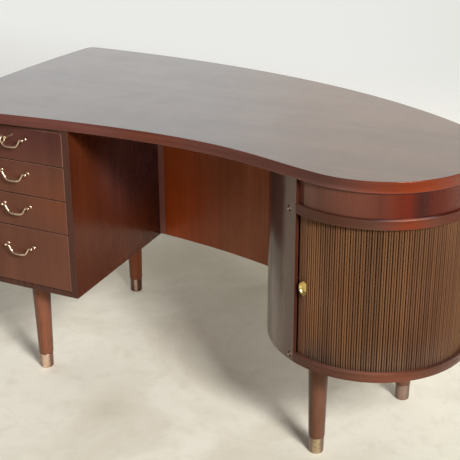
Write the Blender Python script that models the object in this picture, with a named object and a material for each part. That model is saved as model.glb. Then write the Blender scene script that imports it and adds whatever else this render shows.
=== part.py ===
"""Kidney shaped writing desk: a drawer pedestal and a round tambour cabinet under one top.

Plan positions are measured from the front right corner of the drawer pedestal, on the
floor, with +X to the right and +Y to the back. One shift then puts the middle of the
top's plan on the world origin. Every size is in metres.
"""

import math

import bmesh
import bpy
from mathutils import Matrix, Vector
from mathutils.geometry import interpolate_bezier

# Overall
desk_height = 0.740
top_thickness = 0.026
body_clearance = 0.270
pedestal_clearance = 0.267
seat_gap = 0.0003
edge_ease = 0.0008
cut_overrun = 0.004

# Plan of the kidney top
top_overhang = 0.0015
end_arc_start = -103.75
end_arc_stop = 54.2
front_right_reach = 0.2103
front_left_reach = 0.758
front_left_slope = 7.8
back_right_reach = 0.3864
back_left_reach = 0.4187
back_left_slope = 1.24
left_front_reach = 0.200
left_back_reach = 0.200
left_back_slope = 9.5
front_corner_inset = 0.022
front_corner_drop = 0.028
back_corner_inset = 0.026
back_corner_drop = 0.031
top_front_left = (-0.377, -0.042)
top_back_left = (-0.331, 0.633)
top_corner_share = 0.62
top_ease = 0.0018

# Drawer pedestal
pedestal_width = 0.322
pedestal_depth = 0.618
panel_thickness = 0.017
pedestal_bottom_thickness = 0.015
pedestal_top_thickness = 0.0075
pedestal_back_thickness = 0.010
shallow_drawer_pitch = 0.089
shallow_drawer_count = 3
divider_thickness = 0.008
divider_setback = 0.0015
front_thickness = 0.018
front_gap = 0.0012
drawer_rear_room = 0.045
drawer_wall = 0.009
drawer_floor_thickness = 0.004
drawer_side_play = 0.0012
drawer_headroom = 0.007

# Swan neck pulls
pull_span = 0.077
pull_height_share = 0.67
post_base_radius = 0.0040
post_base_thickness = 0.0024
post_neck_radius = 0.0021
post_ball_radius = 0.0037
post_reach = 0.012
bail_wire = 0.0021
bail_drop = 0.0208
bail_neck_inset = 0.0045
bail_shoulder_share = 0.71
bail_belly_share = 0.38

# Lock and key
lock_rise = 0.0225
lock_radius = 0.0046
lock_depth = 0.0155
lock_proud = 0.0008
keyway_radius = 0.0022
keyway_depth = 0.0125
key_shank_radius = 0.0017
key_end_play = 0.0002
key_bow_reach = 0.040
key_bow_radius = 0.0078
key_bow_wire = 0.0014

# Modesty panel
modesty_setback = 0.4356
modesty_thickness = 0.012
modesty_bow = 0.0177
modesty_meet_angle = 140.1
batten_width = 0.019
batten_depth = 0.020

# Round cabinet
cabinet_radius = 0.2415
cabinet_right = 0.716
cabinet_back = 0.153
opening_start = -117.3
opening_stop = 40.0
wall_thickness = 0.010
plate_thickness = 0.021
frieze_height = 0.060
apron_setback = 0.0065
apron_thickness = 0.012
apron_end_angle = 3.4
apron_block_angle = 7.0
apron_block_reach = 0.5
apron_block_thickness = 0.012
groove_depth = 0.006
groove_play = 0.0005

# Tambour
tambour_thickness = 0.007
tambour_groove_share = 0.45
tambour_end_play = 0.0008
slat_angle = 2.80
slat_count = 54
slat_rib_shares = ((0.0, 0.0), (0.06, 0.8), (0.17, 1.0), (0.34, 1.0),
                   (0.50, 0.45), (0.66, 1.0), (0.83, 1.0), (0.94, 0.8))
stile_start = -115.0
stile_angle = 5.5
finger_pull_radius = 0.018
finger_pull_height = 0.192
finger_pull_proud = 0.0075
finger_pull_floor = 0.0015
finger_scoop_shift = 0.0045
finger_scoop_width = 0.0195
finger_scoop_height = 0.0155

# Cabinet inside
liner_back = 0.100
liner_thickness = 0.010
inner_play = 0.003
shelf_rise = 0.165
shelf_thickness = 0.012
shelf_post_radius = 0.008
shelf_post_out = 0.150
shelf_post_spread = 48.0
shelf_front_setback = 0.012

# Legs
leg_top_radius = 0.0249
leg_foot_radius = 0.0194
leg_shoulder = 0.0012
ferrule_height = 0.042
ferrule_radius = 0.0181
ferrule_foot_radius = 0.0175
ferrule_round = 0.0016
pedestal_leg_front = 0.0663
pedestal_leg_back = 0.0597
pedestal_leg_aside = 0.0025
cabinet_leg_out = 0.1648
cabinet_leg_angles = (-115.3, 71.5)

# Facets
arc_step = 3.5
curve_steps = 16
round_steps = 24
small_steps = 10

underside = desk_height - top_thickness - seat_gap
cabinet_centre = (cabinet_right, cabinet_back)
top_radius = cabinet_radius + top_overhang
wall_inner = cabinet_radius - wall_thickness
tambour_outer = wall_inner - groove_play
tambour_inner = tambour_outer - tambour_thickness
groove_inner = tambour_inner - groove_play
inner_radius = groove_inner - inner_play
plate_top_height = underside - frieze_height
plate_low_top = body_clearance + plate_thickness
plate_top_bottom = plate_top_height - plate_thickness
front_left_x = -pedestal_width
middle_x = front_left_x / 2
inside_width = pedestal_width - 2 * panel_thickness
drawer_box_depth = pedestal_depth - pedestal_back_thickness - front_thickness - drawer_rear_room
key_insertion = keyway_depth - lock_proud - key_end_play

finishes = {
    "top_wood": ((0.30, 0.16, 0.11, 1.0), 0.22, 0.0),
    "case_wood": ((0.26, 0.09, 0.045, 1.0), 0.35, 0.0),
    "front_wood": ((0.22, 0.10, 0.075, 1.0), 0.38, 0.0),
    "wall_wood": ((0.24, 0.15, 0.11, 1.0), 0.22, 0.0),
    "slat_wood": ((0.30, 0.18, 0.10, 1.0), 0.50, 0.0),
    "leg_wood": ((0.28, 0.11, 0.065, 1.0), 0.35, 0.0),
    "inside_wood": ((0.52, 0.36, 0.22, 1.0), 0.60, 0.0),
    "pull_brass": ((0.75, 0.58, 0.34, 1.0), 0.28, 1.0),
    "ferrule_brass": ((0.55, 0.36, 0.24, 1.0), 0.40, 1.0),
}


def clear_scene():
    """Remove every object of the start scene."""
    for item in list(bpy.data.objects):
        bpy.data.objects.remove(item, do_unlink=True)


def finish(name):
    """Return the material of this name, made on first use."""
    found = bpy.data.materials.get(name)
    if found is not None:
        return found
    colour, roughness, metallic = finishes[name]
    made = bpy.data.materials.new(name)
    made.use_nodes = True
    shader = made.node_tree.nodes["Principled BSDF"]
    shader.inputs["Base Color"].default_value = colour
    shader.inputs["Roughness"].default_value = roughness
    shader.inputs["Metallic"].default_value = metallic
    made.diffuse_color = colour
    return made


def place(name, work, finish_name, location, rotation=(0.0, 0.0, 0.0), smooth=0.0):
    """Turn a bmesh into a named object with outward faces at its place."""
    bmesh.ops.recalc_face_normals(work, faces=work.faces[:])
    mesh = bpy.data.meshes.new(name)
    work.to_mesh(mesh)
    work.free()
    if smooth:
        mesh.shade_smooth()
        mesh.set_sharp_from_angle(angle=math.radians(smooth))
    item = bpy.data.objects.new(name, mesh)
    item.data.materials.append(finish(finish_name))
    item.location = location
    item.rotation_euler = rotation
    bpy.context.scene.collection.objects.link(item)
    return item


def ease_edges(item, width, segments=1, angle=40.0):
    """Round the sharp edges of an object by a small width."""
    bevel = item.modifiers.new("eased edges", "BEVEL")
    bevel.width = width
    bevel.segments = segments
    bevel.limit_method = "ANGLE"
    bevel.angle_limit = math.radians(angle)
    bevel.use_clamp_overlap = True
    return item


def cut_with(item, cutter):
    """Cut one object out of another with an exact boolean."""
    cut = item.modifiers.new("cut", "BOOLEAN")
    cut.operation = "DIFFERENCE"
    cut.solver = "EXACT"
    cut.object = cutter
    cutter.hide_render = True
    cutter.display_type = "WIRE"
    return item


def join_with(item, other):
    """Fuse another object into this one with an exact boolean."""
    fuse = item.modifiers.new("fuse", "BOOLEAN")
    fuse.operation = "UNION"
    fuse.solver = "EXACT"
    fuse.object = other
    other.hide_render = True
    other.display_type = "WIRE"
    return item


def plan(x, y, z):
    """Turn a plan position of the desk into a world position."""
    return (x - plan_shift[0], y - plan_shift[1], z)


def board(name, low, high, finish_name, ease=edge_ease):
    """Make a rectangular board between two corners of the plan frame."""
    size = [high[axis] - low[axis] for axis in range(3)]
    middle = [(high[axis] + low[axis]) / 2 for axis in range(3)]
    work = bmesh.new()
    bmesh.ops.create_cube(work, size=1.0, matrix=Matrix.Diagonal((*size, 1.0)))
    item = place(name, work, finish_name, plan(*middle))
    if ease:
        ease_edges(item, ease)
    return item


def arc_points(radius, start, stop, centre=(0.0, 0.0), step=arc_step):
    """Return plan points along an arc, both ends included."""
    steps = max(1, math.ceil(abs(stop - start) / step))
    points = []
    for index in range(steps + 1):
        angle = math.radians(start + (stop - start) * index / steps)
        points.append((centre[0] + radius * math.cos(angle), centre[1] + radius * math.sin(angle)))
    return points


def curve_points(start, start_turn, start_reach, stop, stop_turn, stop_reach, steps=curve_steps):
    """Return plan points along a curve that leaves each end at a set turn and reach."""
    first = Vector((start[0], start[1], 0.0))
    last = Vector((stop[0], stop[1], 0.0))
    leave = math.radians(start_turn)
    arrive = math.radians(stop_turn)
    first_handle = first + start_reach * Vector((math.cos(leave), math.sin(leave), 0.0))
    last_handle = last + stop_reach * Vector((math.cos(arrive), math.sin(arrive), 0.0))
    track = interpolate_bezier(first, first_handle, last_handle, last, steps + 1)
    return [(point.x, point.y) for point in track]


def kidney_outline():
    """Return the outline of the top, anticlockwise from the right end's front."""
    end_arc = arc_points(top_radius, end_arc_start, end_arc_stop, cabinet_centre)
    back_stop = (top_back_left[0] + back_corner_inset, top_back_left[1])
    left_start = (top_back_left[0], top_back_left[1] - back_corner_drop)
    left_stop = (top_front_left[0], top_front_left[1] + front_corner_drop)
    front_start = (top_front_left[0] + front_corner_inset, top_front_left[1])
    back = curve_points(end_arc[-1], end_arc_stop + 90, back_right_reach,
                        back_stop, back_left_slope, back_left_reach)
    corner_back = curve_points(back_stop, 180 + back_left_slope, top_corner_share * back_corner_inset,
                               left_start, 90 - left_back_slope, top_corner_share * back_corner_drop, 6)
    left = curve_points(left_start, 270 - left_back_slope, left_back_reach,
                        left_stop, 90, left_front_reach, 10)
    corner_front = curve_points(left_stop, 270, top_corner_share * front_corner_drop,
                                front_start, 180 + front_left_slope,
                                top_corner_share * front_corner_inset, 6)
    front = curve_points(front_start, front_left_slope, front_left_reach,
                         end_arc[0], end_arc_start - 90, front_right_reach)
    return end_arc + back[1:] + corner_back[1:] + left[1:] + corner_front[1:] + front[1:-1]


def plan_middle(points):
    """Return the middle of the box round some plan points."""
    across = [point[0] for point in points]
    along = [point[1] for point in points]
    return ((min(across) + max(across)) / 2, (min(along) + max(along)) / 2)


def outline_solid(name, points, low, high, finish_name, origin=None, smooth=30.0):
    """Extrude a plan outline upwards into a solid."""
    origin = origin or plan_middle(points)
    work = bmesh.new()
    corners = [work.verts.new((x - origin[0], y - origin[1], 0.0)) for x, y in points]
    base = work.faces.new(corners)
    grown = bmesh.ops.extrude_face_region(work, geom=[base])
    lifted = [part for part in grown["geom"] if isinstance(part, bmesh.types.BMVert)]
    bmesh.ops.translate(work, verts=lifted, vec=(0.0, 0.0, high - low))
    return place(name, work, finish_name, plan(origin[0], origin[1], low), smooth=smooth)


def sector_points(inner, outer, start, stop):
    """Return the outline of a bent strip round the cabinet's axis."""
    return (arc_points(outer, start, stop, cabinet_centre)
            + arc_points(inner, stop, start, cabinet_centre))


def spun(name, profile, finish_name, location, rotation=(0.0, 0.0, 0.0), steps=round_steps):
    """Spin a profile of (radius, height) points round the local Z axis."""
    work = bmesh.new()
    points = [work.verts.new((radius, 0.0, height)) for radius, height in profile]
    edges = [work.edges.new(pair) for pair in zip(points, points[1:])]
    if profile[0][0] > 0 and profile[-1][0] > 0:
        edges.append(work.edges.new((points[-1], points[0])))
    bmesh.ops.spin(work, geom=points + edges, axis=(0.0, 0.0, 1.0), cent=(0.0, 0.0, 0.0),
                   angle=2 * math.pi, steps=steps, use_merge=True)
    bmesh.ops.remove_doubles(work, verts=work.verts[:], dist=seat_gap / 30)
    return place(name, work, finish_name, location, rotation, smooth=35.0)


def ring_cutter(name, inner, outer, low, high):
    """Make a ring round the cabinet's axis, used to rout a groove."""
    profile = [(inner, low), (outer, low), (outer, high), (inner, high)]
    steps = round(360 / arc_step)
    return spun(name, profile, "inside_wood", plan(*cabinet_centre, 0.0), steps=steps)


def build_top():
    """Make the kidney shaped top with its eased arrises."""
    item = outline_solid("desk_top", kidney_outline(), desk_height - top_thickness, desk_height,
                         "top_wood", plan_shift)
    ease_edges(item, top_ease, 2, 50.0)


def drawer_lines():
    """Return the heights of the gaps between drawers, from the top one down."""
    first = underside - pedestal_top_thickness
    return [first - index * shallow_drawer_pitch for index in range(shallow_drawer_count + 1)]


def build_pedestal():
    """Make the pedestal's case: sides, bottom, top, back and drawer dividers."""
    floor_level = pedestal_clearance + pedestal_bottom_thickness
    inner_left = front_left_x + panel_thickness + seat_gap
    inner_right = -panel_thickness - seat_gap
    back_front = pedestal_depth - pedestal_back_thickness
    top_level = underside - pedestal_top_thickness
    board("pedestal_side_left", (front_left_x, 0.0, pedestal_clearance),
          (front_left_x + panel_thickness, pedestal_depth, underside), "case_wood")
    board("pedestal_side_right", (-panel_thickness, 0.0, pedestal_clearance),
          (0.0, pedestal_depth, underside), "case_wood")
    board("pedestal_bottom", (inner_left, 0.0, pedestal_clearance),
          (inner_right, pedestal_depth, floor_level), "case_wood")
    board("pedestal_top", (inner_left, 0.0, top_level),
          (inner_right, pedestal_depth, underside), "case_wood")
    board("pedestal_back", (inner_left, back_front, floor_level + seat_gap),
          (inner_right, pedestal_depth, top_level - seat_gap), "case_wood")
    for index, line in enumerate(drawer_lines()[1:], start=1):
        board(f"drawer_divider_{index}",
              (inner_left, front_thickness + divider_setback, line - divider_thickness / 2),
              (inner_right, back_front - seat_gap, line + divider_thickness / 2), "inside_wood")


def build_drawer(number, low_line, high_line, floor_level, roof_level):
    """Make one drawer: its front, its four walls and its floor."""
    half_front = inside_width / 2 - front_gap
    half_box = inside_width / 2 - drawer_side_play
    low = low_line + front_gap
    high = high_line - front_gap
    front = board(f"drawer_{number}_front", (middle_x - half_front, 0.0, low),
                  (middle_x + half_front, front_thickness, high), "front_wood")
    box_front = front_thickness + seat_gap
    floor_low = floor_level + seat_gap
    wall_low = floor_low + drawer_floor_thickness + seat_gap
    wall_high = roof_level - drawer_headroom
    board(f"drawer_{number}_floor", (middle_x - half_box, box_front, floor_low),
          (middle_x + half_box, box_front + drawer_box_depth, floor_low + drawer_floor_thickness),
          "inside_wood", 0.0)
    work = bmesh.new()
    bmesh.ops.create_grid(work, x_segments=1, y_segments=1, size=1.0)
    bmesh.ops.scale(work, verts=work.verts[:], vec=(half_box, drawer_box_depth / 2, 1.0))
    bmesh.ops.inset_region(work, faces=work.faces[:], thickness=drawer_wall,
                             use_boundary=True, use_even_offset=True)
    middle = min(work.faces, key=lambda face: max(abs(vert.co.x) for vert in face.verts))
    bmesh.ops.delete(work, geom=[middle], context="FACES_ONLY")
    grown = bmesh.ops.extrude_face_region(work, geom=work.faces[:])
    lifted = [part for part in grown["geom"] if isinstance(part, bmesh.types.BMVert)]
    bmesh.ops.translate(work, verts=lifted, vec=(0.0, 0.0, wall_high - wall_low))
    place(f"drawer_{number}_box", work, "inside_wood",
          plan(middle_x, box_front + drawer_box_depth / 2, wall_low))
    build_pull(number, low + (high - low) * pull_height_share)
    return front


def build_pull(number, height):
    """Make one swan neck pull: two turned posts and the hanging bail."""
    ball = post_reach
    seat = seat_gap
    waist = ball - math.sqrt(post_ball_radius ** 2 - post_neck_radius ** 2)
    profile = [(0.0, seat), (post_base_radius, seat),
               (post_base_radius, seat + post_base_thickness / 2),
               (post_neck_radius, seat + post_base_thickness), (post_neck_radius, waist)]
    for step in range(1, 5):
        turn = math.radians(-55 + 145 * step / 4)
        profile.append((post_ball_radius * math.cos(turn), ball + post_ball_radius * math.sin(turn)))
    profile[-1] = (0.0, ball + post_ball_radius)
    for side, name in ((-1, "left"), (1, "right")):
        spun(f"drawer_{number}_post_{name}", profile, "pull_brass",
             plan(middle_x + side * pull_span / 2, 0.0, height), (math.pi / 2, 0.0, 0.0), small_steps)
    reach = pull_span / 2 - post_ball_radius - seat_gap
    shoulder = reach - bail_neck_inset
    half = [(reach, 0.0), (shoulder, 0.0), (reach * bail_shoulder_share, -bail_drop / 2),
            (reach * bail_belly_share, -bail_drop), (0.0, -bail_drop)]
    points = half + [(-x, z) for x, z in reversed(half[:-1])]
    curve = bpy.data.curves.new(f"drawer_{number}_bail", "CURVE")
    curve.dimensions = "3D"
    curve.bevel_depth = bail_wire
    curve.bevel_resolution = 1
    curve.resolution_u = 3
    curve.use_fill_caps = True
    track = curve.splines.new("BEZIER")
    track.bezier_points.add(len(points) - 1)
    for point, (x, z) in zip(track.bezier_points, points):
        point.co = (x, 0.0, z)
        point.handle_left_type = "AUTO"
        point.handle_right_type = "AUTO"
    curve.materials.append(finish("pull_brass"))
    item = bpy.data.objects.new(f"drawer_{number}_bail", curve)
    item.location = plan(middle_x, -post_reach, height)
    bpy.context.scene.collection.objects.link(item)


def build_drawers():
    """Make the three shallow drawers and the deep one below."""
    lines = drawer_lines()
    floor = pedestal_clearance + pedestal_bottom_thickness
    lines.append(floor)
    half = divider_thickness / 2
    fronts = []
    for index in range(shallow_drawer_count + 1):
        high_line = lines[index]
        low_line = lines[index + 1]
        roof = high_line - (half if index else 0.0)
        level = low_line + half if index < shallow_drawer_count else low_line
        fronts.append(build_drawer(index + 1, low_line, high_line, level, roof))
    return fronts


def build_lock(front):
    """Make the lock barrel of the first drawer and its key."""
    height = drawer_lines()[0] - lock_rise
    turn = (math.pi / 2, 0.0, 0.0)
    bore_radius = lock_radius + seat_gap
    bore_end = front_thickness + cut_overrun
    bore = spun("lock_bore", [(0.0, -bore_end), (bore_radius, -bore_end), (bore_radius, cut_overrun),
                (0.0, cut_overrun)], "inside_wood", plan(middle_x, 0.0, height), turn, small_steps)
    cut_with(front, bore)
    barrel = [(0.0, -lock_depth), (lock_radius, -lock_depth), (lock_radius, lock_proud),
              (keyway_radius, lock_proud), (keyway_radius, lock_proud - keyway_depth),
              (0.0, lock_proud - keyway_depth)]
    spun("lock_barrel", barrel, "pull_brass", plan(middle_x, 0.0, height), turn, small_steps)
    shank_end = key_bow_reach - key_bow_radius
    shank = [(0.0, -key_insertion), (key_shank_radius, -key_insertion),
             (key_shank_radius, shank_end), (0.0, shank_end)]
    key = spun("key", shank, "pull_brass", plan(middle_x, 0.0, height), turn, small_steps)
    work = bmesh.new()
    ring = bmesh.ops.create_circle(work, segments=8, radius=key_bow_wire,
                                   matrix=Matrix.Translation((key_bow_radius, 0.0, 0.0))
                                   @ Matrix.Rotation(math.pi / 2, 4, "X"))
    bmesh.ops.spin(work, geom=ring["verts"] + work.edges[:], axis=(0.0, 0.0, 1.0),
                   cent=(0.0, 0.0, 0.0), angle=2 * math.pi, steps=round_steps, use_merge=True)
    bow = place("key_bow", work, "pull_brass", plan(middle_x, -key_bow_reach, height),
                (0.0, math.pi / 2, 0.0))
    join_with(key, bow)


def circles_meet(first, first_radius, second, second_radius):
    """Return the meeting point of two circles that lies furthest back."""
    gap = math.dist(first, second)
    along = (first_radius ** 2 - second_radius ** 2 + gap ** 2) / (2 * gap)
    across = math.sqrt(first_radius ** 2 - along ** 2)
    toward = ((second[0] - first[0]) / gap, (second[1] - first[1]) / gap)
    base = (first[0] + along * toward[0], first[1] + along * toward[1])
    options = [(base[0] - sign * across * toward[1], base[1] + sign * across * toward[0])
               for sign in (-1, 1)]
    return max(options, key=lambda point: point[1])


def build_modesty():
    """Make the bowed modesty panel and the batten that joins it to the pedestal."""
    board("modesty_batten", (seat_gap, modesty_setback, body_clearance),
          (batten_width - seat_gap, modesty_setback + batten_depth, underside), "case_wood")
    meet_radius = cabinet_radius + seat_gap
    turn = math.radians(modesty_meet_angle)
    start = Vector((batten_width, modesty_setback))
    stop = Vector(cabinet_centre) + meet_radius * Vector((math.cos(turn), math.sin(turn)))
    chord = stop - start
    radius = (chord.length ** 2 / 4 + modesty_bow ** 2) / (2 * modesty_bow)
    normal = Vector((-chord.y, chord.x)).normalized()
    centre = (start + stop) / 2 - normal * (radius - modesty_bow)
    back_radius = radius + modesty_thickness
    back_stop = circles_meet(cabinet_centre, meet_radius, centre, back_radius)
    back_start = (start.x, centre.y + math.sqrt(back_radius ** 2 - (start.x - centre.x) ** 2))

    def turn_of(point):
        """Return the angle of a plan point about the bend's centre."""
        return math.degrees(math.atan2(point[1] - centre.y, point[0] - centre.x))

    step = (turn_of(start) - turn_of(stop)) / curve_steps
    face = arc_points(radius, turn_of(stop), turn_of(start), centre, step)
    back = arc_points(back_radius, turn_of(back_start), turn_of(back_stop), centre, step)
    item = outline_solid("modesty_panel", back + face, body_clearance, underside, "case_wood")
    ease_edges(item, edge_ease)


def plate_outline():
    """Return the outline of a cabinet plate: full under the opening, inset behind the wall."""
    inset = wall_inner - seat_gap
    edge = math.degrees(seat_gap / cabinet_radius)
    rim = arc_points(cabinet_radius, opening_start + edge, opening_stop - edge, cabinet_centre)
    behind = arc_points(inset, opening_stop - edge, opening_start + 360 + edge, cabinet_centre)
    return rim + behind


def build_cabinet():
    """Make the round cabinet's plates, bent wall and frieze."""
    bottom = outline_solid("cabinet_bottom", plate_outline(), body_clearance, plate_low_top,
                           "case_wood", cabinet_centre)
    top = outline_solid("cabinet_top", plate_outline(), plate_top_bottom, plate_top_height,
                        "case_wood", cabinet_centre)
    low = ring_cutter("groove_low", groove_inner, wall_inner,
                      plate_low_top - groove_depth, plate_low_top + cut_overrun)
    high = ring_cutter("groove_high", groove_inner, wall_inner,
                       plate_top_bottom - cut_overrun, plate_top_bottom + groove_depth)
    cut_with(bottom, low)
    cut_with(top, high)
    for item in (bottom, top):
        ease_edges(item, edge_ease, 1, 50.0)
    wall = outline_solid("cabinet_wall", sector_points(wall_inner, cabinet_radius, opening_stop,
                         opening_start + 360), body_clearance, underside, "wall_wood", cabinet_centre)
    ease_edges(wall, edge_ease, 1, 50.0)
    apron_outer = cabinet_radius - apron_setback
    apron = outline_solid("cabinet_apron", sector_points(apron_outer - apron_thickness, apron_outer,
                          opening_start + apron_end_angle, opening_stop - apron_end_angle),
                          plate_top_height + seat_gap, underside, "case_wood", cabinet_centre)
    ease_edges(apron, edge_ease, 1, 50.0)
    block_outer = apron_outer - apron_thickness - seat_gap
    block_inner = block_outer - apron_block_thickness
    left_start = opening_start - apron_block_reach
    right_stop = opening_stop + apron_block_reach
    for name, start in (("left", left_start), ("right", right_stop - apron_block_angle)):
        outline_solid(f"apron_block_{name}", sector_points(block_inner, block_outer, start,
                      start + apron_block_angle), plate_top_height + seat_gap, underside, "case_wood",
                      cabinet_centre)


def build_tambour():
    """Make the sliding tambour: two-ribbed slats on their backing, lead stile and finger pull."""
    low = plate_low_top - groove_depth + tambour_end_play
    high = plate_top_bottom + groove_depth - tambour_end_play
    first = stile_start + stile_angle + math.degrees(seat_gap / tambour_inner)
    last = first + slat_angle * slat_count
    floor = tambour_inner + tambour_thickness * tambour_groove_share
    outer = []
    for slat in range(slat_count):
        for turn, rise in slat_rib_shares:
            angle = math.radians(first + slat_angle * (slat + turn))
            radius = floor + (tambour_outer - floor) * rise
            outer.append((cabinet_centre[0] + radius * math.cos(angle),
                          cabinet_centre[1] + radius * math.sin(angle)))
    outer += arc_points(floor, last, last, cabinet_centre, slat_angle)[:1]
    inner = arc_points(tambour_inner, last, first, cabinet_centre)
    outline_solid("tambour_slats", outer + inner, low, high, "slat_wood", cabinet_centre, 50.0)
    stile = outline_solid("tambour_stile", sector_points(tambour_inner, tambour_outer, stile_start,
                          stile_start + stile_angle), low, high, "slat_wood", cabinet_centre)
    ease_edges(stile, edge_ease, 1, 50.0)
    build_finger_pull()


def build_finger_pull():
    """Make the half round cup pull on the lead stile."""
    turn = math.radians(stile_start + stile_angle / 2)
    out = tambour_outer + seat_gap
    half = finger_pull_radius / 2
    work = bmesh.new()
    outline = arc_points(finger_pull_radius, 90, 270, (half, 0.0), 180 / round_steps)
    corners = [work.verts.new((x, 0.0, z)) for x, z in outline]
    grown = bmesh.ops.extrude_face_region(work, geom=[work.faces.new(corners)])
    lifted = [part for part in grown["geom"] if isinstance(part, bmesh.types.BMVert)]
    bmesh.ops.translate(work, verts=lifted, vec=(0.0, -finger_pull_proud, 0.0))
    height = body_clearance + finger_pull_height
    spot = plan(cabinet_centre[0] + out * math.cos(turn), cabinet_centre[1] + out * math.sin(turn), height)
    facing = (0.0, 0.0, turn + math.pi / 2)
    pull = place("tambour_pull", work, "pull_brass", spot, facing, 35.0)
    dish = bmesh.new()
    depth = finger_pull_proud - finger_pull_floor
    shape = Matrix.Diagonal((finger_scoop_width, depth, finger_scoop_height, 1.0))
    shift = Matrix.Translation((half + finger_scoop_shift, -finger_pull_proud, 0.0))
    bmesh.ops.create_uvsphere(dish, u_segments=round_steps, v_segments=small_steps, radius=1.0,
                              matrix=shift @ shape)
    scoop = place("finger_scoop", dish, "inside_wood", spot, facing, 35.0)
    cut_with(pull, scoop)


def build_inside():
    """Make the cabinet's inside: back liner, shelf and the shelf's two posts."""
    facing = (opening_start + opening_stop) / 2
    half = math.sqrt(inner_radius ** 2 - (liner_back + liner_thickness) ** 2)
    rotation = (0.0, 0.0, math.radians(facing))
    work = bmesh.new()
    height = plate_top_bottom - plate_low_top - 2 * seat_gap
    bmesh.ops.create_cube(work, size=1.0, matrix=Matrix.Diagonal((liner_thickness, 2 * half, height, 1.0)))
    turn = math.radians(facing)
    back = liner_back + liner_thickness / 2
    liner = place("cabinet_liner", work, "inside_wood",
                  plan(cabinet_centre[0] - back * math.cos(turn), cabinet_centre[1] - back * math.sin(turn),
                       (plate_low_top + plate_top_bottom) / 2), rotation)
    ease_edges(liner, edge_ease)
    shelf_radius = inner_radius - shelf_front_setback
    chord = liner_back - seat_gap
    swing = math.degrees(math.acos(-chord / shelf_radius))
    shelf_low = plate_low_top + shelf_rise
    shelf = outline_solid("cabinet_shelf", arc_points(shelf_radius, facing - swing, facing + swing,
                          cabinet_centre), shelf_low, shelf_low + shelf_thickness, "inside_wood",
                          cabinet_centre)
    ease_edges(shelf, edge_ease, 1, 50.0)
    for side, name in ((-1, "left"), (1, "right")):
        spot = arc_points(shelf_post_out, facing + side * shelf_post_spread, facing, cabinet_centre)[0]
        spun(f"shelf_post_{name}", [(0.0, plate_low_top + seat_gap), (shelf_post_radius, plate_low_top
             + seat_gap), (shelf_post_radius, shelf_low - seat_gap), (0.0, shelf_low - seat_gap)],
             "inside_wood", plan(*spot, 0.0), steps=small_steps)


def build_legs():
    """Make the four turned legs and their metal ferrules."""
    leg_x = middle_x + pedestal_leg_aside
    spots = {
        "pedestal_front": (leg_x, pedestal_leg_front, pedestal_clearance - seat_gap),
        "pedestal_back": (leg_x, pedestal_depth - pedestal_leg_back, pedestal_clearance - seat_gap),
    }
    for angle, name in zip(cabinet_leg_angles, ("cabinet_front", "cabinet_back")):
        x, y = arc_points(cabinet_leg_out, angle, angle, cabinet_centre)[0]
        spots[name] = (x, y, body_clearance - seat_gap)
    wood_foot = ferrule_height + seat_gap
    ferrule = [(0.0, 0.0), (ferrule_foot_radius - ferrule_round, 0.0),
               (ferrule_foot_radius, ferrule_round), (ferrule_radius, ferrule_height),
               (0.0, ferrule_height)]
    for name, (x, y, head) in spots.items():
        leg = [(0.0, wood_foot), (ferrule_radius, wood_foot),
               (leg_foot_radius, wood_foot + leg_shoulder), (leg_top_radius, head), (0.0, head)]
        spun(f"leg_{name}", leg, "leg_wood", plan(x, y, 0.0))
        spun(f"ferrule_{name}", ferrule, "ferrule_brass", plan(x, y, 0.0))


clear_scene()
plan_shift = plan_middle(kidney_outline())
build_top()
build_pedestal()
drawer_fronts = build_drawers()
build_lock(drawer_fronts[0])
build_modesty()
build_cabinet()
build_tambour()
build_inside()
build_legs()
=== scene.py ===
"""Kidney shaped desk: the dressed pieces, the finishes, the studio and the camera.

Sizes are in metres. Plan sizes are measured from the drawer pedestal's front right corner
on the floor, with +X to the right and +Y to the back.
"""

from __future__ import annotations

import logging
import math
import random
from dataclasses import dataclass
from enum import Enum

import bmesh
import bpy
from mathutils import Matrix, Vector
from mathutils.geometry import interpolate_bezier

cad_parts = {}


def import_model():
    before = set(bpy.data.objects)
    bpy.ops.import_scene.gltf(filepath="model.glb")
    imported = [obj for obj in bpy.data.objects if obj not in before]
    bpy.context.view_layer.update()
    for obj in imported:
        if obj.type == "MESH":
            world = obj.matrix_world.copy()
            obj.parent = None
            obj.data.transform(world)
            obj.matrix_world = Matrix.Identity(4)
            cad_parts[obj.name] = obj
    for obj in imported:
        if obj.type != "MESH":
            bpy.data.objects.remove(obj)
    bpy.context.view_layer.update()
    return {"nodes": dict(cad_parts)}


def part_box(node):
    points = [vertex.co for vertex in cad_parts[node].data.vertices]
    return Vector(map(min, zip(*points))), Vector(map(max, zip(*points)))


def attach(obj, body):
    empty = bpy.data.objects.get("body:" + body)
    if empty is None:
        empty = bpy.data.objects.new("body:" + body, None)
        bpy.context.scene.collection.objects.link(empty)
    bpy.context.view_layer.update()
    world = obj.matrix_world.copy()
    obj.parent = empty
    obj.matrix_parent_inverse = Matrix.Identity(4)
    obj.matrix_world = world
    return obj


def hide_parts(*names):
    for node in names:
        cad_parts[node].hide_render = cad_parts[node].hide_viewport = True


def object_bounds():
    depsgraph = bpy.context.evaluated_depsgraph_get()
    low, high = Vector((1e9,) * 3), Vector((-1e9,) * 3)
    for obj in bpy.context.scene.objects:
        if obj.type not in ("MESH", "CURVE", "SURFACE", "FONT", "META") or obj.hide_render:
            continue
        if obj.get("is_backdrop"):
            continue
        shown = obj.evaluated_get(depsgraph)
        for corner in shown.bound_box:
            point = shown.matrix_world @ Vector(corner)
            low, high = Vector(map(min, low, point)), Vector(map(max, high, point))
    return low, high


Colour = tuple[float, float, float]
Point = tuple[float, float, float]
Spot = tuple[float, float]
Section = tuple[float, float, float, float]
Work = bmesh.types.BMesh
Socket = bpy.types.NodeSocket
Values = dict[str | int, object]

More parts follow.
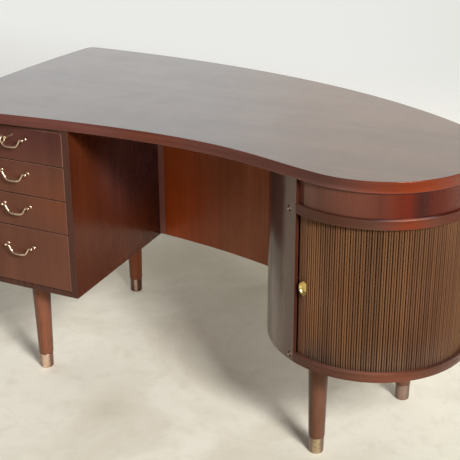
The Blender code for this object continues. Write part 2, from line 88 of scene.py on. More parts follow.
LOG = logging.getLogger("desk")
FULL_TURN = 360.0
UP = Vector((0.0, 0.0, 1.0))
TO_FRONT = Vector((0.0, -1.0, 0.0))
TO_BACK = Vector((0.0, 1.0, 0.0))
CENTRE = (0.0, 0.0, 0.0)
EVEN = (1.0, 1.0, 1.0)
WELD = 0.000005
# Angles in degrees: an edge past the first is rounded, and one past the others stays sharp.
EASED_EDGE = 40.0
PLAIN_SHARP = 34.0
ROUND_SHARP = 50.0
WIRE_SHARP = 60.0
# The share of a face's normal along an axis from which the face counts as broad, level or leaning.
BROAD_FACE = 0.995
LEVEL_FACE = 0.97
LEANING_FACE = 0.3


class Grain(Enum):
    """The way a wood surface's grain runs, as flags for X, Y and Z."""

    LENGTHWISE = (True, False, False)
    DEPTHWISE = (False, True, False)
    UPRIGHT = (False, False, True)
    LEVEL = (True, True, False)


@dataclass(frozen=True)
class Patch:
    """A soft edged stretch where a colour is multiplied, mostly to paint light, shade, highlights or
    reflections: its middle, its reach and its gain.
    """

    centre: Point
    reach: Point
    gain: Colour


class Tree:
    """A node tree while it is put together."""

    mix_inputs = (0, 6, 7)
    mix_output = 2

    def __init__(self, tree: bpy.types.NodeTree) -> None:
        """Starts with the tree to be filled.

        Args:
            tree: The node tree.
        """
        self.tree = tree

    def fill(self, node: bpy.types.Node, values: Values) -> None:
        """Links or sets inputs of a node.

        Args:
            node: The node.
            values: What each input gets: a socket, a number or a colour.
        """
        for key, value in values.items():
            target = node.inputs[key]
            if isinstance(value, bpy.types.NodeSocket):
                self.tree.links.new(value, target)
            elif isinstance(value, tuple) and len(target.default_value) > len(value):
                target.default_value = (*value, 1.0)
            else:
                target.default_value = value

    def add(self, kind: str, values: Values | None = None, **settings: object) -> bpy.types.Node:
        """Adds a node.

        Args:
            kind: The node's type name.
            values: What its inputs get.
            settings: Properties to set on it.

        Returns:
            The new node.
        """
        node = self.tree.nodes.new(kind)
        for key, value in settings.items():
            setattr(node, key, value)
        self.fill(node, values or {})
        return node

    def place(self, scale: Point, shift: Point = CENTRE) -> Socket:
        """Scales and moves the object's own coordinates.

        Args:
            scale: The scale along X, Y and Z.
            shift: The offset along X, Y and Z.

        Returns:
            The scaled coordinates.
        """
        source = self.add("ShaderNodeTexCoord").outputs["Object"]
        values = {"Vector": source, "Scale": scale, "Location": shift}
        return self.add("ShaderNodeMapping", values).outputs["Vector"]

    def noise(self, vector: Socket, detail: float = 3.0, rough: float = 0.55, twist: float = 0.0) -> Socket:
        """Adds a noise pattern.

        Args:
            vector: Its coordinates.
            detail: Its number of octaves.
            rough: The share of the finer octaves.
            twist: Its distortion.

        Returns:
            The pattern, from 0 to 1.
        """
        values = {"Vector": vector, "Scale": 1.0, "Detail": detail, "Roughness": rough, "Distortion": twist}
        return self.add("ShaderNodeTexNoise", values).outputs["Fac"]

    def span(self, value: Socket, start: float, stop: float, low: float = 0.0, high: float = 1.0) -> Socket:
        """Maps a stretch of values onto another one, held at its ends.

        Args:
            value: The value to map.
            start: Where the stretch starts.
            stop: Where it stops.
            low: What the start becomes.
            high: What the stop becomes.

        Returns:
            The mapped value.
        """
        values = {"Value": value, "From Min": start, "From Max": stop, "To Min": low, "To Max": high}
        return self.add("ShaderNodeMapRange", values, interpolation_type="SMOOTHSTEP").outputs["Result"]

    def sum(self, first: object, second: object, kind: str = "ADD") -> Socket:
        """Adds or otherwise combines two numbers.

        Args:
            first: A socket or a number.
            second: A socket or a number.
            kind: The operation.

        Returns:
            The outcome.
        """
        return self.add("ShaderNodeMath", {0: first, 1: second}, operation=kind).outputs["Value"]

    def blend(self, share: object, first: object, second: object, kind: str = "MIX") -> Socket:
        """Mixes two colours.

        Args:
            share: The second colour's share.
            first: A socket or a colour.
            second: A socket or a colour.
            kind: The blend type.

        Returns:
            The mixed colour.
        """
        values = dict(zip(self.mix_inputs, (share, first, second)))
        node = self.add("ShaderNodeMix", values, data_type="RGBA", blend_type=kind)
        return node.outputs[self.mix_output]

    def choose(self, share: Socket, first: Socket, second: Socket) -> Socket:
        """Mixes two shaders.

        Args:
            share: The second shader's share.
            first: A shader.
            second: A shader.

        Returns:
            The mixed shader.
        """
        return self.add("ShaderNodeMixShader", {0: share, 1: first, 2: second}).outputs["Shader"]

    def layer(self, name: str) -> Socket:
        """Reads a number that the mesh's faces carry."""
        return self.add("ShaderNodeAttribute", attribute_name=name).outputs["Fac"]

    def near(self, centre: Point, reach: Point) -> Socket:
        """Returns a share that is full at a place and fades away from it.

        Args:
            centre: The place.
            reach: How far it goes along X, Y and Z.

        Returns:
            The share.
        """
        scale = tuple(1.0 / part for part in reach)
        shift = tuple(-part / length for part, length in zip(centre, reach))
        away = self.add("ShaderNodeVectorMath", {0: self.place(scale, shift)}, operation="LENGTH")
        return self.span(away.outputs["Value"], 1.0, 0.0)

    def paint_tone_and_light(self, colour: Socket, patches: tuple[Patch, ...]) -> Socket:
        """Multiplies a colour in soft edged patches, which mostly paint light, shade, highlights and
        reflections.

        Args:
            colour: The colour.
            patches: The patches, each over the last one.

        Returns:
            The colour with its painted patches.
        """
        for patch in patches:
            changed = self.blend(1.0, colour, patch.gain, "MULTIPLY")
            colour = self.blend(self.near(patch.centre, patch.reach), colour, changed)
        return colour


class Bench(Tree):
    """One material's node tree with its shader."""

    def __init__(self, name: str) -> None:
        """Starts the material.

        Args:
            name: The material's name.
        """
        self.material = bpy.data.materials.new(name)
        self.material.use_nodes = True
        super().__init__(self.material.node_tree)
        self.shader = self.tree.nodes["Principled BSDF"]

    def coat(self, values: Values) -> None:
        """Links or sets the shader's inputs."""
        self.fill(self.shader, values)

    def raise_surface(self, height: Socket, strength: float, distance: float) -> None:
        """Gives the shader a bumped surface.

        Args:
            height: The height pattern.
            strength: The bump's strength.
            distance: The height of a full step.
        """
        node = self.add("ShaderNodeBump", {"Strength": strength, "Distance": distance, "Height": height})
        self.coat({"Normal": node.outputs["Normal"]})


@dataclass(frozen=True)
class Wood:
    """A lacquered wood finish with its figure, fibres and pores.

    A scale of two numbers is a pattern's repeats per metre across and along the grain.
    """

    name: str
    dark: Colour
    light: Colour
    grain: Grain = Grain.UPRIGHT
    ribbon: float = 0.55
    fibre: float = 0.35
    cloud: float = 0.30
    pores: float = 0.30
    spread: float = 0.17
    roughness: float = 0.30
    ior: float = 1.5
    gloss: float = 0.30
    gloss_tint: Colour = (1.0, 0.55, 0.38)
    coat: float = 0.0
    coat_roughness: float = 0.10
    coat_ior: float = 1.5
    relief: float = 0.10
    relief_depth: float = 0.0002
    tone_layer: str = ""
    tone_reach: float = 0.0
    tone_dark: Colour = (0.97, 1.0, 1.08)
    tone_light: Colour = (1.04, 1.0, 0.90)
    patches: tuple[Patch, ...] = ()
    ribbon_scale: Spot = (15.0, 1.2)
    ribbon_shift: Point = (3.1, 1.7, 0.6)
    fibre_scale: Spot = (170.0, 2.5)
    pore_scale: Spot = (850.0, 12.0)
    pore_edge: Spot = (0.60, 0.70)
    pore_ink: float = 0.35
    cloud_scale: float = 3.2
    cloud_shift: Point = (0.4, 2.2, 1.1)
    wear_scale: float = 9.0
    wear_shift: Point = (5.0, 0.3, 0.9)
    wear_roughness: Spot = (-0.03, 0.04)
    fibre_roughness: Spot = (-0.01, 0.01)
    middle_stretch: Spot = (0.3, 0.7)

    def stretched(self, across: float, along: float) -> Point:
        """Returns a pattern scale that is long along the grain.

        Args:
            across: Repeats per metre across the grain.
            along: Repeats per metre along it.

        Returns:
            The scale along X, Y and Z.
        """
        return tuple(along if flag else across for flag in self.grain.value)

    def make(self) -> bpy.types.Material:
        """Builds the finish.

        Returns:
            The material.
        """
        bench = Bench(self.name)
        figured = bench.place(self.stretched(*self.ribbon_scale), self.ribbon_shift)
        ribbon = bench.noise(figured, twist=0.6)
        fibre = bench.noise(bench.place(self.stretched(*self.fibre_scale)), detail=2.0)
        pore = bench.noise(bench.place(self.stretched(*self.pore_scale)), detail=1.0, rough=0.5)
        cloudy = bench.place((self.cloud_scale,) * 3, self.cloud_shift)
        cloud = bench.noise(cloudy, detail=2.0, rough=0.5, twist=0.4)
        parts = [bench.sum(pattern, share, "MULTIPLY") for pattern, share in
                 ((ribbon, self.ribbon), (fibre, self.fibre), (cloud, self.cloud))]
        figure = bench.sum(bench.sum(parts[0], parts[1]), parts[2])
        middle = 0.5 * (self.ribbon + self.fibre + self.cloud)
        share = bench.span(figure, middle - self.spread, middle + self.spread)
        colour = bench.blend(share, self.dark, self.light)
        # A face layer tints the colour: a random tone per slat on the slats, and a painted sheen towards
        # the front on the legs.
        if self.tone_layer:
            dark = tuple((1.0 - self.tone_reach) * part for part in self.tone_dark)
            light = tuple((1.0 + self.tone_reach) * part for part in self.tone_light)
            tint = bench.blend(bench.layer(self.tone_layer), dark, light)
            colour = bench.blend(1.0, colour, tint, "MULTIPLY")
        colour = bench.paint_tone_and_light(colour, self.patches)
        line = bench.span(pore, *self.pore_edge, high=self.pores)
        ink = tuple(self.pore_ink * part for part in self.dark)
        wear = bench.noise(bench.place((self.wear_scale,) * 3, self.wear_shift), detail=4.0, rough=0.6)
        rough = bench.sum(bench.span(wear, *self.middle_stretch, *self.wear_roughness),
                          bench.span(fibre, *self.middle_stretch, *self.fibre_roughness))
        bench.coat({
            "Base Color": bench.blend(line, colour, ink),
            "Roughness": bench.sum(rough, self.roughness),
            "IOR": self.ior,
            "Specular IOR Level": self.gloss,
            "Specular Tint": self.gloss_tint,
            "Coat Weight": self.coat,
            "Coat Roughness": self.coat_roughness,
            "Coat IOR": self.coat_ior,
        })
        bench.raise_surface(bench.sum(fibre, line, "SUBTRACT"), self.relief, self.relief_depth)
        return bench.material


@dataclass(frozen=True)
class Metal:
    """A brass or copper finish with tarnish and fine brush marks."""

    name: str
    bright: Colour
    tarnish: Colour
    patina: float = 0.35
    roughness: float = 0.22
    painted_sheen: Spot = (0.0, 0.0)
    streak: Grain = Grain.UPRIGHT
    brush_scale: Spot = (60.0, 700.0)
    brush_edge: Spot = (0.35, 0.75)
    brush_share: float = 0.25
    spot_scale: Point = (130.0, 130.0, 90.0)
    spot_shift: Point = (0.2, 0.9, 0.4)
    spot_edge: Spot = (0.42, 0.72)
    spot_roughness: float = 0.14
    brush_roughness: Spot = (-0.03, 0.05)
    relief: float = 0.12
    relief_depth: float = 0.00008

    def make(self) -> bpy.types.Material:
        """Builds the finish.

        Returns:
            The material.
        """
        bench = Bench(self.name)
        along, across = self.brush_scale
        scale = tuple(along if flag else across for flag in self.streak.value)
        brush = bench.noise(bench.place(scale), rough=0.6)
        spotted = bench.place(self.spot_scale, self.spot_shift)
        spots = bench.noise(spotted, detail=5.0, rough=0.65, twist=0.6)
        stain = bench.span(spots, *self.spot_edge, high=self.patina)
        colour = bench.blend(stain, self.bright, self.tarnish)
        lines = bench.span(brush, *self.brush_edge, high=self.brush_share)
        colour = bench.blend(lines, colour, self.tarnish)
        # Painted sheen: faces turned to the front keep the bright colour, and the sides go to the tarnish
        # colour.
        if self.painted_sheen[1]:
            colour = bench.blend(bench.span(bench.layer("painted_sheen"), *self.painted_sheen), self.tarnish, colour)
        rough = bench.sum(bench.span(spots, 0.3, 0.8, high=self.spot_roughness),
                          bench.span(brush, 0.2, 0.8, *self.brush_roughness))
        bench.coat({"Base Color": colour, "Metallic": 1.0, "Roughness": bench.sum(rough, self.roughness)})
        bench.raise_surface(bench.sum(brush, spots), self.relief, self.relief_depth)
        return bench.material


@dataclass(frozen=True)
class Canvas:
    """The woven backing glued behind the tambour's slats."""

    name: str
    thread: Colour
    gap: Colour
    bands: float = 70.0
    wobble: float = 0.8
    dust_scale: Point = (40.0, 40.0, 12.0)
    dust_edge: Spot = (0.4, 0.8)
    dust_share: float = 0.3
    roughness: float = 0.9
    relief: float = 0.4
    relief_depth: float = 0.0003

    def make(self) -> bpy.types.Material:
        """Builds the finish.

        Returns:
            The material.
        """
        bench = Bench(self.name)
        weave = []
        for direction in ("Z", "DIAGONAL"):
            values = {"Vector": bench.place(EVEN), "Scale": self.bands, "Distortion": self.wobble}
            wave = bench.add("ShaderNodeTexWave", values, wave_type="BANDS", bands_direction=direction)
            weave.append(wave.outputs["Fac"])
        cloth = bench.sum(weave[0], weave[1], "MULTIPLY")
        dust = bench.noise(bench.place(self.dust_scale), detail=4.0)
        dust = bench.span(dust, *self.dust_edge, high=self.dust_share)
        colour = bench.blend(dust, bench.blend(cloth, self.gap, self.thread), self.gap)
        bench.coat({"Base Color": colour, "Roughness": self.roughness})
        bench.raise_surface(cloth, self.relief, self.relief_depth)
        return bench.material


FINISHES = (
    Wood("top_veneer", (0.0345, 0.0172, 0.0099), (0.0805, 0.0414, 0.022), Grain.LENGTHWISE, ribbon=0.5,
         cloud=0.2, pores=0.1, roughness=0.34, coat=1.0, coat_roughness=0.05, coat_ior=1.9,
         relief=0.002),
    Wood("edge_veneer", (0.088, 0.026, 0.019), (0.176, 0.0612, 0.0507), Grain.LEVEL, ribbon=0.7,
         fibre=0.2, coat=0.2, roughness=0.3, coat_roughness=0.08, relief=0.03,
         patches=(
             # The first patch paints the lamp's hot orange light on the edge band's right end.
             Patch((0.56, -0.31, 0.72), (0.16, 0.16, 0.1), (1.55, 0.6, 0.05)),
             Patch((-0.07, -0.24, 0.72), (0.14, 0.14, 0.1), (1.1, 0.85, 0.6)),
             Patch((0.37, -0.37, 0.72), (0.13, 0.1, 0.1), (0.74, 0.92, 0.98)),
         )),
    # A lighter finish for the edge band's lower arris: a painted highlight.
    Wood("edge_arris", (0.15, 0.07, 0.056), (0.23, 0.115, 0.095), Grain.LEVEL, ribbon=0.5, fibre=0.2,
         roughness=0.3, relief=0.03),
    Wood("case_veneer", (0.0407, 0.0081, 0.0028), (0.0925, 0.0207, 0.0077), ribbon=0.5, fibre=0.02,
         cloud=0.5, pores=0.02, spread=0.3, roughness=0.26, gloss=0.25, relief=0.01,
         patches=(
             # These patches paint a cool bluish reflection on the pedestal's right side.
             Patch((-0.29, 0.03, 0.6), (0.3, 0.24, 0.26), (1.7, 3.4, 9.0)),
             Patch((-0.29, 0.16, 0.42), (0.3, 0.16, 0.24), (1.1, 1.4, 2.2)),
         )),
    # The panel's face is painted far lighter and more orange than its back, as light on its shaded face;
    # the patch paints an orange glow at its left end.
    Wood("panel_face_painted_glow", (0.18, 0.0506, 0.022), (0.4, 0.1364, 0.0715), ribbon=0.5, fibre=0.1, cloud=0.5,
         pores=0.08, spread=0.3, roughness=0.26, gloss=0.25, relief=0.03,
         patches=(
             Patch((-0.26, 0.16, 0.38), (0.22, 0.22, 0.45), (1.5, 0.8, 0.3)),
         )),
    Wood("panel_back_veneer", (0.08, 0.023, 0.01), (0.17, 0.056, 0.028), ribbon=0.5, fibre=0.1,
         cloud=0.5, pores=0.08, spread=0.3, roughness=0.3, gloss=0.25, relief=0.03),
    Wood("case_lipping", (0.048, 0.019, 0.0135), (0.086, 0.037, 0.027), ribbon=0.3, fibre=0.2),
    Wood("front_veneer", (0.1, 0.035, 0.02), (0.17, 0.063, 0.039), ribbon=0.6, fibre=0.12, cloud=0.4,
         pores=0.1, spread=0.26, roughness=0.32, coat=0.1, coat_roughness=0.15, relief=0.04,
         patches=(
             # The first patch paints shade across the head of the top drawer, under the top.
             Patch((-0.38, -0.27, 0.72), (0.5, 0.5, 0.17), (0.5, 0.42, 0.66)),
             Patch((-0.31, -0.27, 0.52), (0.16, 0.5, 0.1), (1.15, 1.0, 0.8)),
         )),
    Wood("batten_wood", (0.26, 0.095, 0.08), (0.42, 0.17, 0.14), ribbon=0.3, fibre=0.2),
    # A lighter arris finish: partly wear, partly a painted highlight.
    Wood("arris_wear_and_sheen", (0.132, 0.06, 0.0396), (0.242, 0.12, 0.088), ribbon=0.3),
    Wood("wall_veneer", (0.052, 0.029, 0.027), (0.094, 0.054, 0.05), ribbon=0.5, fibre=0.15, pores=0.15,
         roughness=0.2, ior=1.56, gloss=0.9, gloss_tint=(1.0, 0.79, 0.61), relief=0.02),
    Wood("wall_edge", (0.04, 0.0115, 0.007), (0.076, 0.024, 0.015), ribbon=0.3, gloss=0.2),
    Wood("frieze_veneer", (0.08, 0.026, 0.015), (0.15, 0.054, 0.037), ribbon=0.7, fibre=0.1, cloud=0.5,
         spread=0.28, roughness=0.28, coat=0.15, coat_roughness=0.1, relief=0.03,
         patches=(
             # These patches paint the lamp's hot light on the frieze's right, a purple reflection within
             # it, and darker and greyer reflections on either side.
             Patch((0.58, -0.29, 0.68), (0.2, 0.2, 0.3), (0.55, 0.1, 0.05)),
             Patch((0.545, -0.321, 0.68), (0.044, 0.044, 0.2), (1.22, 0.8, 0.5)),
             Patch((0.58, -0.296, 0.68), (0.034, 0.034, 0.2), (0.44, 0.72, 1.85)),
             Patch((0.63, -0.235, 0.68), (0.06, 0.06, 0.2), (0.8, 0.72, 0.75)),
             Patch((0.34, -0.34, 0.68), (0.1, 0.1, 0.2), (1.05, 1.35, 1.55)),
         )),
    Wood("block_wood", (0.085, 0.024, 0.017), (0.15, 0.046, 0.034), ribbon=0.4, gloss=0.2),
    Wood("ring_wood", (0.05, 0.019, 0.013), (0.095, 0.043, 0.031), Grain.LEVEL, ribbon=0.6, fibre=0.2,
         coat=0.1, roughness=0.28, coat_roughness=0.08, relief=0.03,
         patches=(
             # These patches paint light and shade on the rings' fronts, and highlight strips along their
             # top arrises.
             Patch((0.56, -0.318, 0.64), (0.08, 0.08, 0.06), (1.75, 0.62, 0.26)),
             Patch((0.64, -0.23, 0.64), (0.1, 0.1, 0.08), (0.9, 0.35, 0.2)),
             Patch((0.42, -0.36, 0.64), (0.12, 0.12, 0.08), (0.85, 0.72, 0.62)),
             Patch((0.55, -0.324, 0.28), (0.12, 0.12, 0.06), (2.0, 1.55, 1.2)),
             Patch((0.42, -0.36, 0.28), (0.16, 0.16, 0.06), (1.2, 1.08, 0.98)),
             Patch((0.558, -0.316, 0.6545), (0.09, 0.09, 0.0032), (3.4, 8.0, 14.0)),
             Patch((0.49, -0.355, 0.2918), (0.2, 0.14, 0.0028), (2.2, 2.6, 3.2)),
         )),
    # A lighter, glossier arris finish for the plates: a painted highlight, with patches that paint it
    # brighter on the right and shaded at the left under the frieze.
    Wood("ring_arris", (0.1, 0.038, 0.025), (0.18, 0.078, 0.054), Grain.LEVEL, ribbon=0.6, fibre=0.2,
         coat=1.0, roughness=0.3, coat_roughness=0.25, relief=0.03,
         patches=(
             Patch((0.57, -0.308, 0.65), (0.11, 0.11, 0.04), (4.2, 4.2, 4.4)),
             Patch((0.35, -0.345, 0.65), (0.12, 0.12, 0.04), (0.35, 0.3, 0.25)),
             Patch((0.48, -0.35, 0.29), (0.2, 0.16, 0.04), (2.2, 2.6, 3.0)),
         )),
    Wood("slat_wood", (0.072, 0.031, 0.014), (0.13, 0.066, 0.033), ribbon=0.2, fibre=0.15, cloud=0.4,
         pores=0.05, roughness=0.4, gloss=0.25, relief=0.02, tone_layer="slat_tone", tone_reach=0.19,
         patches=(
             # The first patch paints light on the left slats, evening the shading across the tambour.
             Patch((0.36, -0.36, 0.47), (0.13, 0.13, 0.6), (1.75, 1.8, 1.85)),
             Patch((0.6, -0.27, 0.47), (0.14, 0.14, 0.6), (1.05, 1.02, 1.1)),
             Patch((0.34, -0.35, 0.285), (0.16, 0.16, 0.09), (0.5, 0.68, 1.1)),
             Patch((0.58, -0.3, 0.285), (0.2, 0.2, 0.1), (1.15, 1.5, 2.1)),
         )),
    Wood("stile_wood", (0.12, 0.052, 0.027), (0.2, 0.092, 0.05), ribbon=0.4, fibre=0.2, roughness=0.34,
         relief=0.04),
    Wood("leg_wood", (0.067, 0.0285, 0.0178), (0.128, 0.0625, 0.045), ribbon=0.35, fibre=0.15,
         roughness=0.3, gloss=0.35, relief=0.04, tone_layer="painted_sheen", tone_reach=0.42,
         patches=(
             # These patches paint light on the pedestal's two legs, making them lighter than the cabinet's.
             Patch((-0.45, -0.2, 0.13), (0.3, 0.3, 0.4), (1.68, 1.4, 1.28)),
             Patch((-0.45, 0.29, 0.13), (0.3, 0.3, 0.4), (1.8, 1.15, 0.78)),
         )),
    Wood("inside_beech", (0.42, 0.27, 0.15), (0.6, 0.43, 0.27), Grain.DEPTHWISE, ribbon=0.3,
         roughness=0.62, gloss_tint=(1.0, 1.0, 1.0), pores=0.3, relief=0.3),
    Wood("inside_panel", (0.3, 0.165, 0.085), (0.44, 0.27, 0.15), ribbon=0.4, roughness=0.58,
         gloss_tint=(1.0, 1.0, 1.0), pores=0.4, relief=0.3),
    Metal("pull_brass", (0.86, 0.68, 0.51), (0.42, 0.25, 0.15), patina=0.45, roughness=0.2,
          streak=Grain.LENGTHWISE),
    Metal("cup_brass", (0.8, 0.6, 0.24), (0.36, 0.22, 0.08), patina=0.45, roughness=0.24),
    Metal("ferrule_copper", (0.95, 0.7, 0.56), (0.28, 0.16, 0.12), patina=0.5, roughness=0.22,
          painted_sheen=(0.66, 1.0)),
    # A darker copy of the ferrule finish for the pedestal's back leg, which stands in shade: painted shade.
    Metal("ferrule_shaded_back", (0.72, 0.5, 0.42), (0.16, 0.085, 0.06), patina=0.3, roughness=0.24,
          painted_sheen=(0.93, 1.0)),
    Metal("ferrule_bronze", (0.66, 0.52, 0.33), (0.26, 0.18, 0.14), patina=0.85, roughness=0.26,
          painted_sheen=(0.7, 1.0)),
    # A darker copy of the ferrule finish for the cabinet's back leg, which stands in shade: painted shade.
    Metal("ferrule_brown", (0.42, 0.3, 0.25), (0.18, 0.11, 0.09), patina=0.55, roughness=0.3,
          painted_sheen=(0.4, 1.0)),
    Metal("dark_bronze", (0.26, 0.17, 0.13), (0.1, 0.06, 0.05), patina=0.55, roughness=0.34),
    Metal("key_brass", (0.92, 0.78, 0.56), (0.55, 0.38, 0.22), patina=0.3, roughness=0.34),
    Metal("screw_brass", (0.56, 0.4, 0.32), (0.2, 0.12, 0.09), patina=0.7, roughness=0.34),
    Canvas("backing_canvas", (0.3, 0.22, 0.14), (0.1, 0.07, 0.045)),
)


class Palette:
    """Makes each finish once, when it is first asked for."""

    def __init__(self) -> None:
        """Starts with no material made."""
        self.known = {finish.name: finish for finish in FINISHES}
        self.made: dict[str, bpy.types.Material] = {}

    def get(self, name: str) -> bpy.types.Material:
        """Returns the finish of a name.

        Args:
            name: The finish's name.

        Returns:
            Its material.
        """
        if name not in self.made:
            self.made[name] = self.known[name].make()
        return self.made[name]


@dataclass(frozen=True)
class Plan:
    """The desk's plan frame and the cabinet's axis in it."""

    right: float
    front: float
    cabinet_right: float = 0.716
    cabinet_back: float = 0.153

    def point(self, x: float, y: float, z: float = 0.0) -> Vector:
        """Turns a plan place into a place in the frame.

        Args:
            x: The place to the right.
            y: The place to the back.
            z: The height.

        Returns:
            The place in the frame.
        """
        return Vector((x + self.right, y + self.front, z))

    def around(self, radius: float, angle: float, z: float = 0.0) -> Vector:
        """Returns a place about the cabinet's axis.

        Args:
            radius: The distance from the axis.
            angle: The turn from +X, in degrees.
            z: The height.

        Returns:
            The place in the frame.
        """
        turn = math.radians(angle)
        across = self.cabinet_right + radius * math.cos(turn)
        return self.point(across, self.cabinet_back + radius * math.sin(turn), z)

    def axis(self) -> Vector:
        """Returns the cabinet axis's foot on the floor."""
        return self.point(self.cabinet_right, self.cabinet_back)


def mesh_of(name: str, work: Work) -> bpy.types.Mesh:
    """Writes a work mesh into a new mesh and frees it.

    Args:
        name: The new mesh's name.
        work: The work mesh, which is used up.

    Returns:
        The new mesh.
    """
    mesh = bpy.data.meshes.new(name)
    work.to_mesh(mesh)
    work.free()
    return mesh


def put(name: str, data: bpy.types.ID) -> bpy.types.Object:
    """Puts a new object with some data into the scene.

    Args:
        name: The object's name.
        data: Its mesh, lamp or camera.

    Returns:
        The object.
    """
    made = bpy.data.objects.new(name, data)
    bpy.context.scene.collection.objects.link(made)
    return made


def foot_middle(node: str) -> Vector:
    """Returns the middle of the foot of a CAD node's box."""
    low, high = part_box(node)
    return Vector(((low.x + high.x) / 2, (low.y + high.y) / 2, low.z))


def back_middle(node: str) -> Vector:
    """Returns the middle of the back of a CAD node's box."""
    low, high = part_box(node)
    return Vector(((low.x + high.x) / 2, high.y, (low.z + high.z) / 2))


@dataclass
class Shop:
    """Turns meshes into pieces that ride on the desk's bodies."""

    palette: Palette
    nodes: dict[str, bpy.types.Object]

    def piece(self, name: str, work: Work, coats: list[str], body: str, slot: str,
              stands_for: tuple[str, ...] = (), sharp: float = PLAIN_SHARP) -> bpy.types.Object:
        """Finishes a mesh as a piece.

        Args:
            name: The piece's name.
            work: The mesh, which is used up.
            coats: The finishes of its material slots.
            body: The body that it rides on.
            slot: Not used.
            stands_for: The CAD nodes that it replaces.
            sharp: The angle, in degrees, past which an edge stays sharp.

        Returns:
            The piece.
        """
        mesh = mesh_of(name, work)
        mesh.shade_smooth()
        mesh.set_sharp_from_angle(angle=math.radians(sharp))
        made = put(name, mesh)
        for coat in coats:
            mesh.materials.append(self.palette.get(coat))
        weighted = made.modifiers.new("even normals", "WEIGHTED_NORMAL")
        weighted.keep_sharp = True
        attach(made, body)
        if stands_for:
            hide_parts(*stands_for)
        LOG.info("made %s on %s", name, body)
        return made

    def round_piece(self, name: str, work: Work, coats: list[str], body: str, slot: str,
                    *stands_for: str) -> bpy.types.Object:
        """Finishes a rounded mesh as a piece whose coarse facets are smoothed too."""
        return self.piece(name, work, coats, body, slot, stands_for, ROUND_SHARP)

    def merged(self, node: str) -> Work:
        """Returns a CAD node's mesh with its corners joined and its flats whole.

        Args:
            node: The CAD node's name.

        Returns:
            The mesh.
        """
        work = bmesh.new()
        work.from_mesh(self.nodes[node].data)
        bmesh.ops.remove_doubles(work, verts=work.verts[:], dist=2 * WELD)
        bmesh.ops.dissolve_limit(work, angle_limit=math.radians(0.3), verts=work.verts[:],
                                 edges=work.edges[:])
        return outward(work)

    def dress(self, node: str, coat: str) -> None:
        """Gives a carried-over CAD node its finish.

        Args:
            node: The CAD node's name.
            coat: The finish.
        """
        target = self.nodes[node]
        if not target.material_slots:
            target.data.materials.append(self.palette.get(coat))
        for entry in target.material_slots:
            entry.material = self.palette.get(coat)
        LOG.info("dressed %s", node)


def outward(work: Work) -> Work:
    """Turns a mesh's faces outwards and returns the mesh."""
    bmesh.ops.recalc_face_normals(work, faces=work.faces[:])
    return work


def lift(work: Work, faces: list[bmesh.types.BMFace], height: float) -> list[bmesh.types.BMVert]:
    """Raises faces straight up into a solid.

    Args:
        work: The mesh.
        faces: The faces.
        height: The rise.

    Returns:
        The raised corners.
    """
    grown = bmesh.ops.extrude_face_region(work, geom=faces)["geom"]
    lifted = [part for part in grown if isinstance(part, bmesh.types.BMVert)]
    bmesh.ops.translate(work, verts=lifted, vec=(0.0, 0.0, height))
    return lifted


def stand(work: Work, place: Matrix) -> None:
    """Moves and turns a whole mesh."""
    bmesh.ops.transform(work, matrix=place, verts=work.verts[:])


def aimed(spot: Vector, aim: Vector) -> Matrix:
    """Returns the move that takes a shape from the origin and +Z to a place and a direction."""
    return Matrix.Translation(spot) @ UP.rotation_difference(aim).to_matrix().to_4x4()


def ease(work: Work, width: float, segments: int = 3) -> Work:
    """Rounds a mesh's sharp edges.

    Args:
        work: The mesh.
        width: The width of the rounding.
        segments: Its facets.

    Returns:
        The same mesh.
    """
    least = math.radians(EASED_EDGE)
    sharp = [edge for edge in work.edges if edge.is_manifold and edge.calc_face_angle(0.0) > least]
    bmesh.ops.bevel(work, geom=sharp, offset=width, offset_type="OFFSET", affect="EDGES", segments=segments,
                    profile=0.5, material=-1, clamp_overlap=True)
    return work


def block(low: Vector, high: Vector, width: float = 0.001, segments: int = 3) -> Work:
    """Makes a board with rounded arrises.

    Args:
        low: Its lowest corner.
        high: Its highest corner.
        width: The width of its arrises.
        segments: The facets of an arris.

    Returns:
        The mesh.
    """
    work = bmesh.new()
    place = Matrix.Translation((low + high) / 2) @ Matrix.Diagonal((*(high - low), 1.0))
    bmesh.ops.create_cube(work, size=1.0, matrix=place)
    return ease(work, width, segments)


def slab(points: list[Vector], height: float) -> Work:
    """Raises an outline into a solid.

    Args:
        points: The outline, anticlockwise, at its lower level.
        height: The solid's height.

    Returns:
        The mesh.
    """
    work = bmesh.new()
    lift(work, [work.faces.new([work.verts.new(point) for point in points])], height)
    return outward(work)


def rod(radius: float, reach: float) -> list[Spot]:
    """Returns a plain rod's profile as points of (radius, reach along the axis)."""
    return [(0.0, 0.0), (radius, 0.0), (radius, reach), (0.0, reach)]


def turned(profile: list[Spot] | tuple[Spot, ...], foot: Vector, aim: Vector = UP, steps: int = 48) -> Work:
    """Turns a profile on a lathe.

    Args:
        profile: Points of (radius, reach along the axis).
        foot: Where the axis starts.
        aim: The axis's direction.
        steps: The facets round it.

    Returns:
        The mesh.
    """
    work = bmesh.new()
    points = [work.verts.new((radius, 0.0, reach)) for radius, reach in profile]
    edges = [work.edges.new(pair) for pair in zip(points, points[1:])]
    if profile[0][0] > 0 and profile[-1][0] > 0:
        edges.append(work.edges.new((points[-1], points[0])))
    bmesh.ops.spin(work, geom=points + edges, axis=UP, cent=CENTRE, angle=2 * math.pi, steps=steps,
                   use_merge=True)
    bmesh.ops.remove_doubles(work, verts=work.verts[:], dist=WELD)
    stand(work, aimed(foot, aim))
    return outward(work)


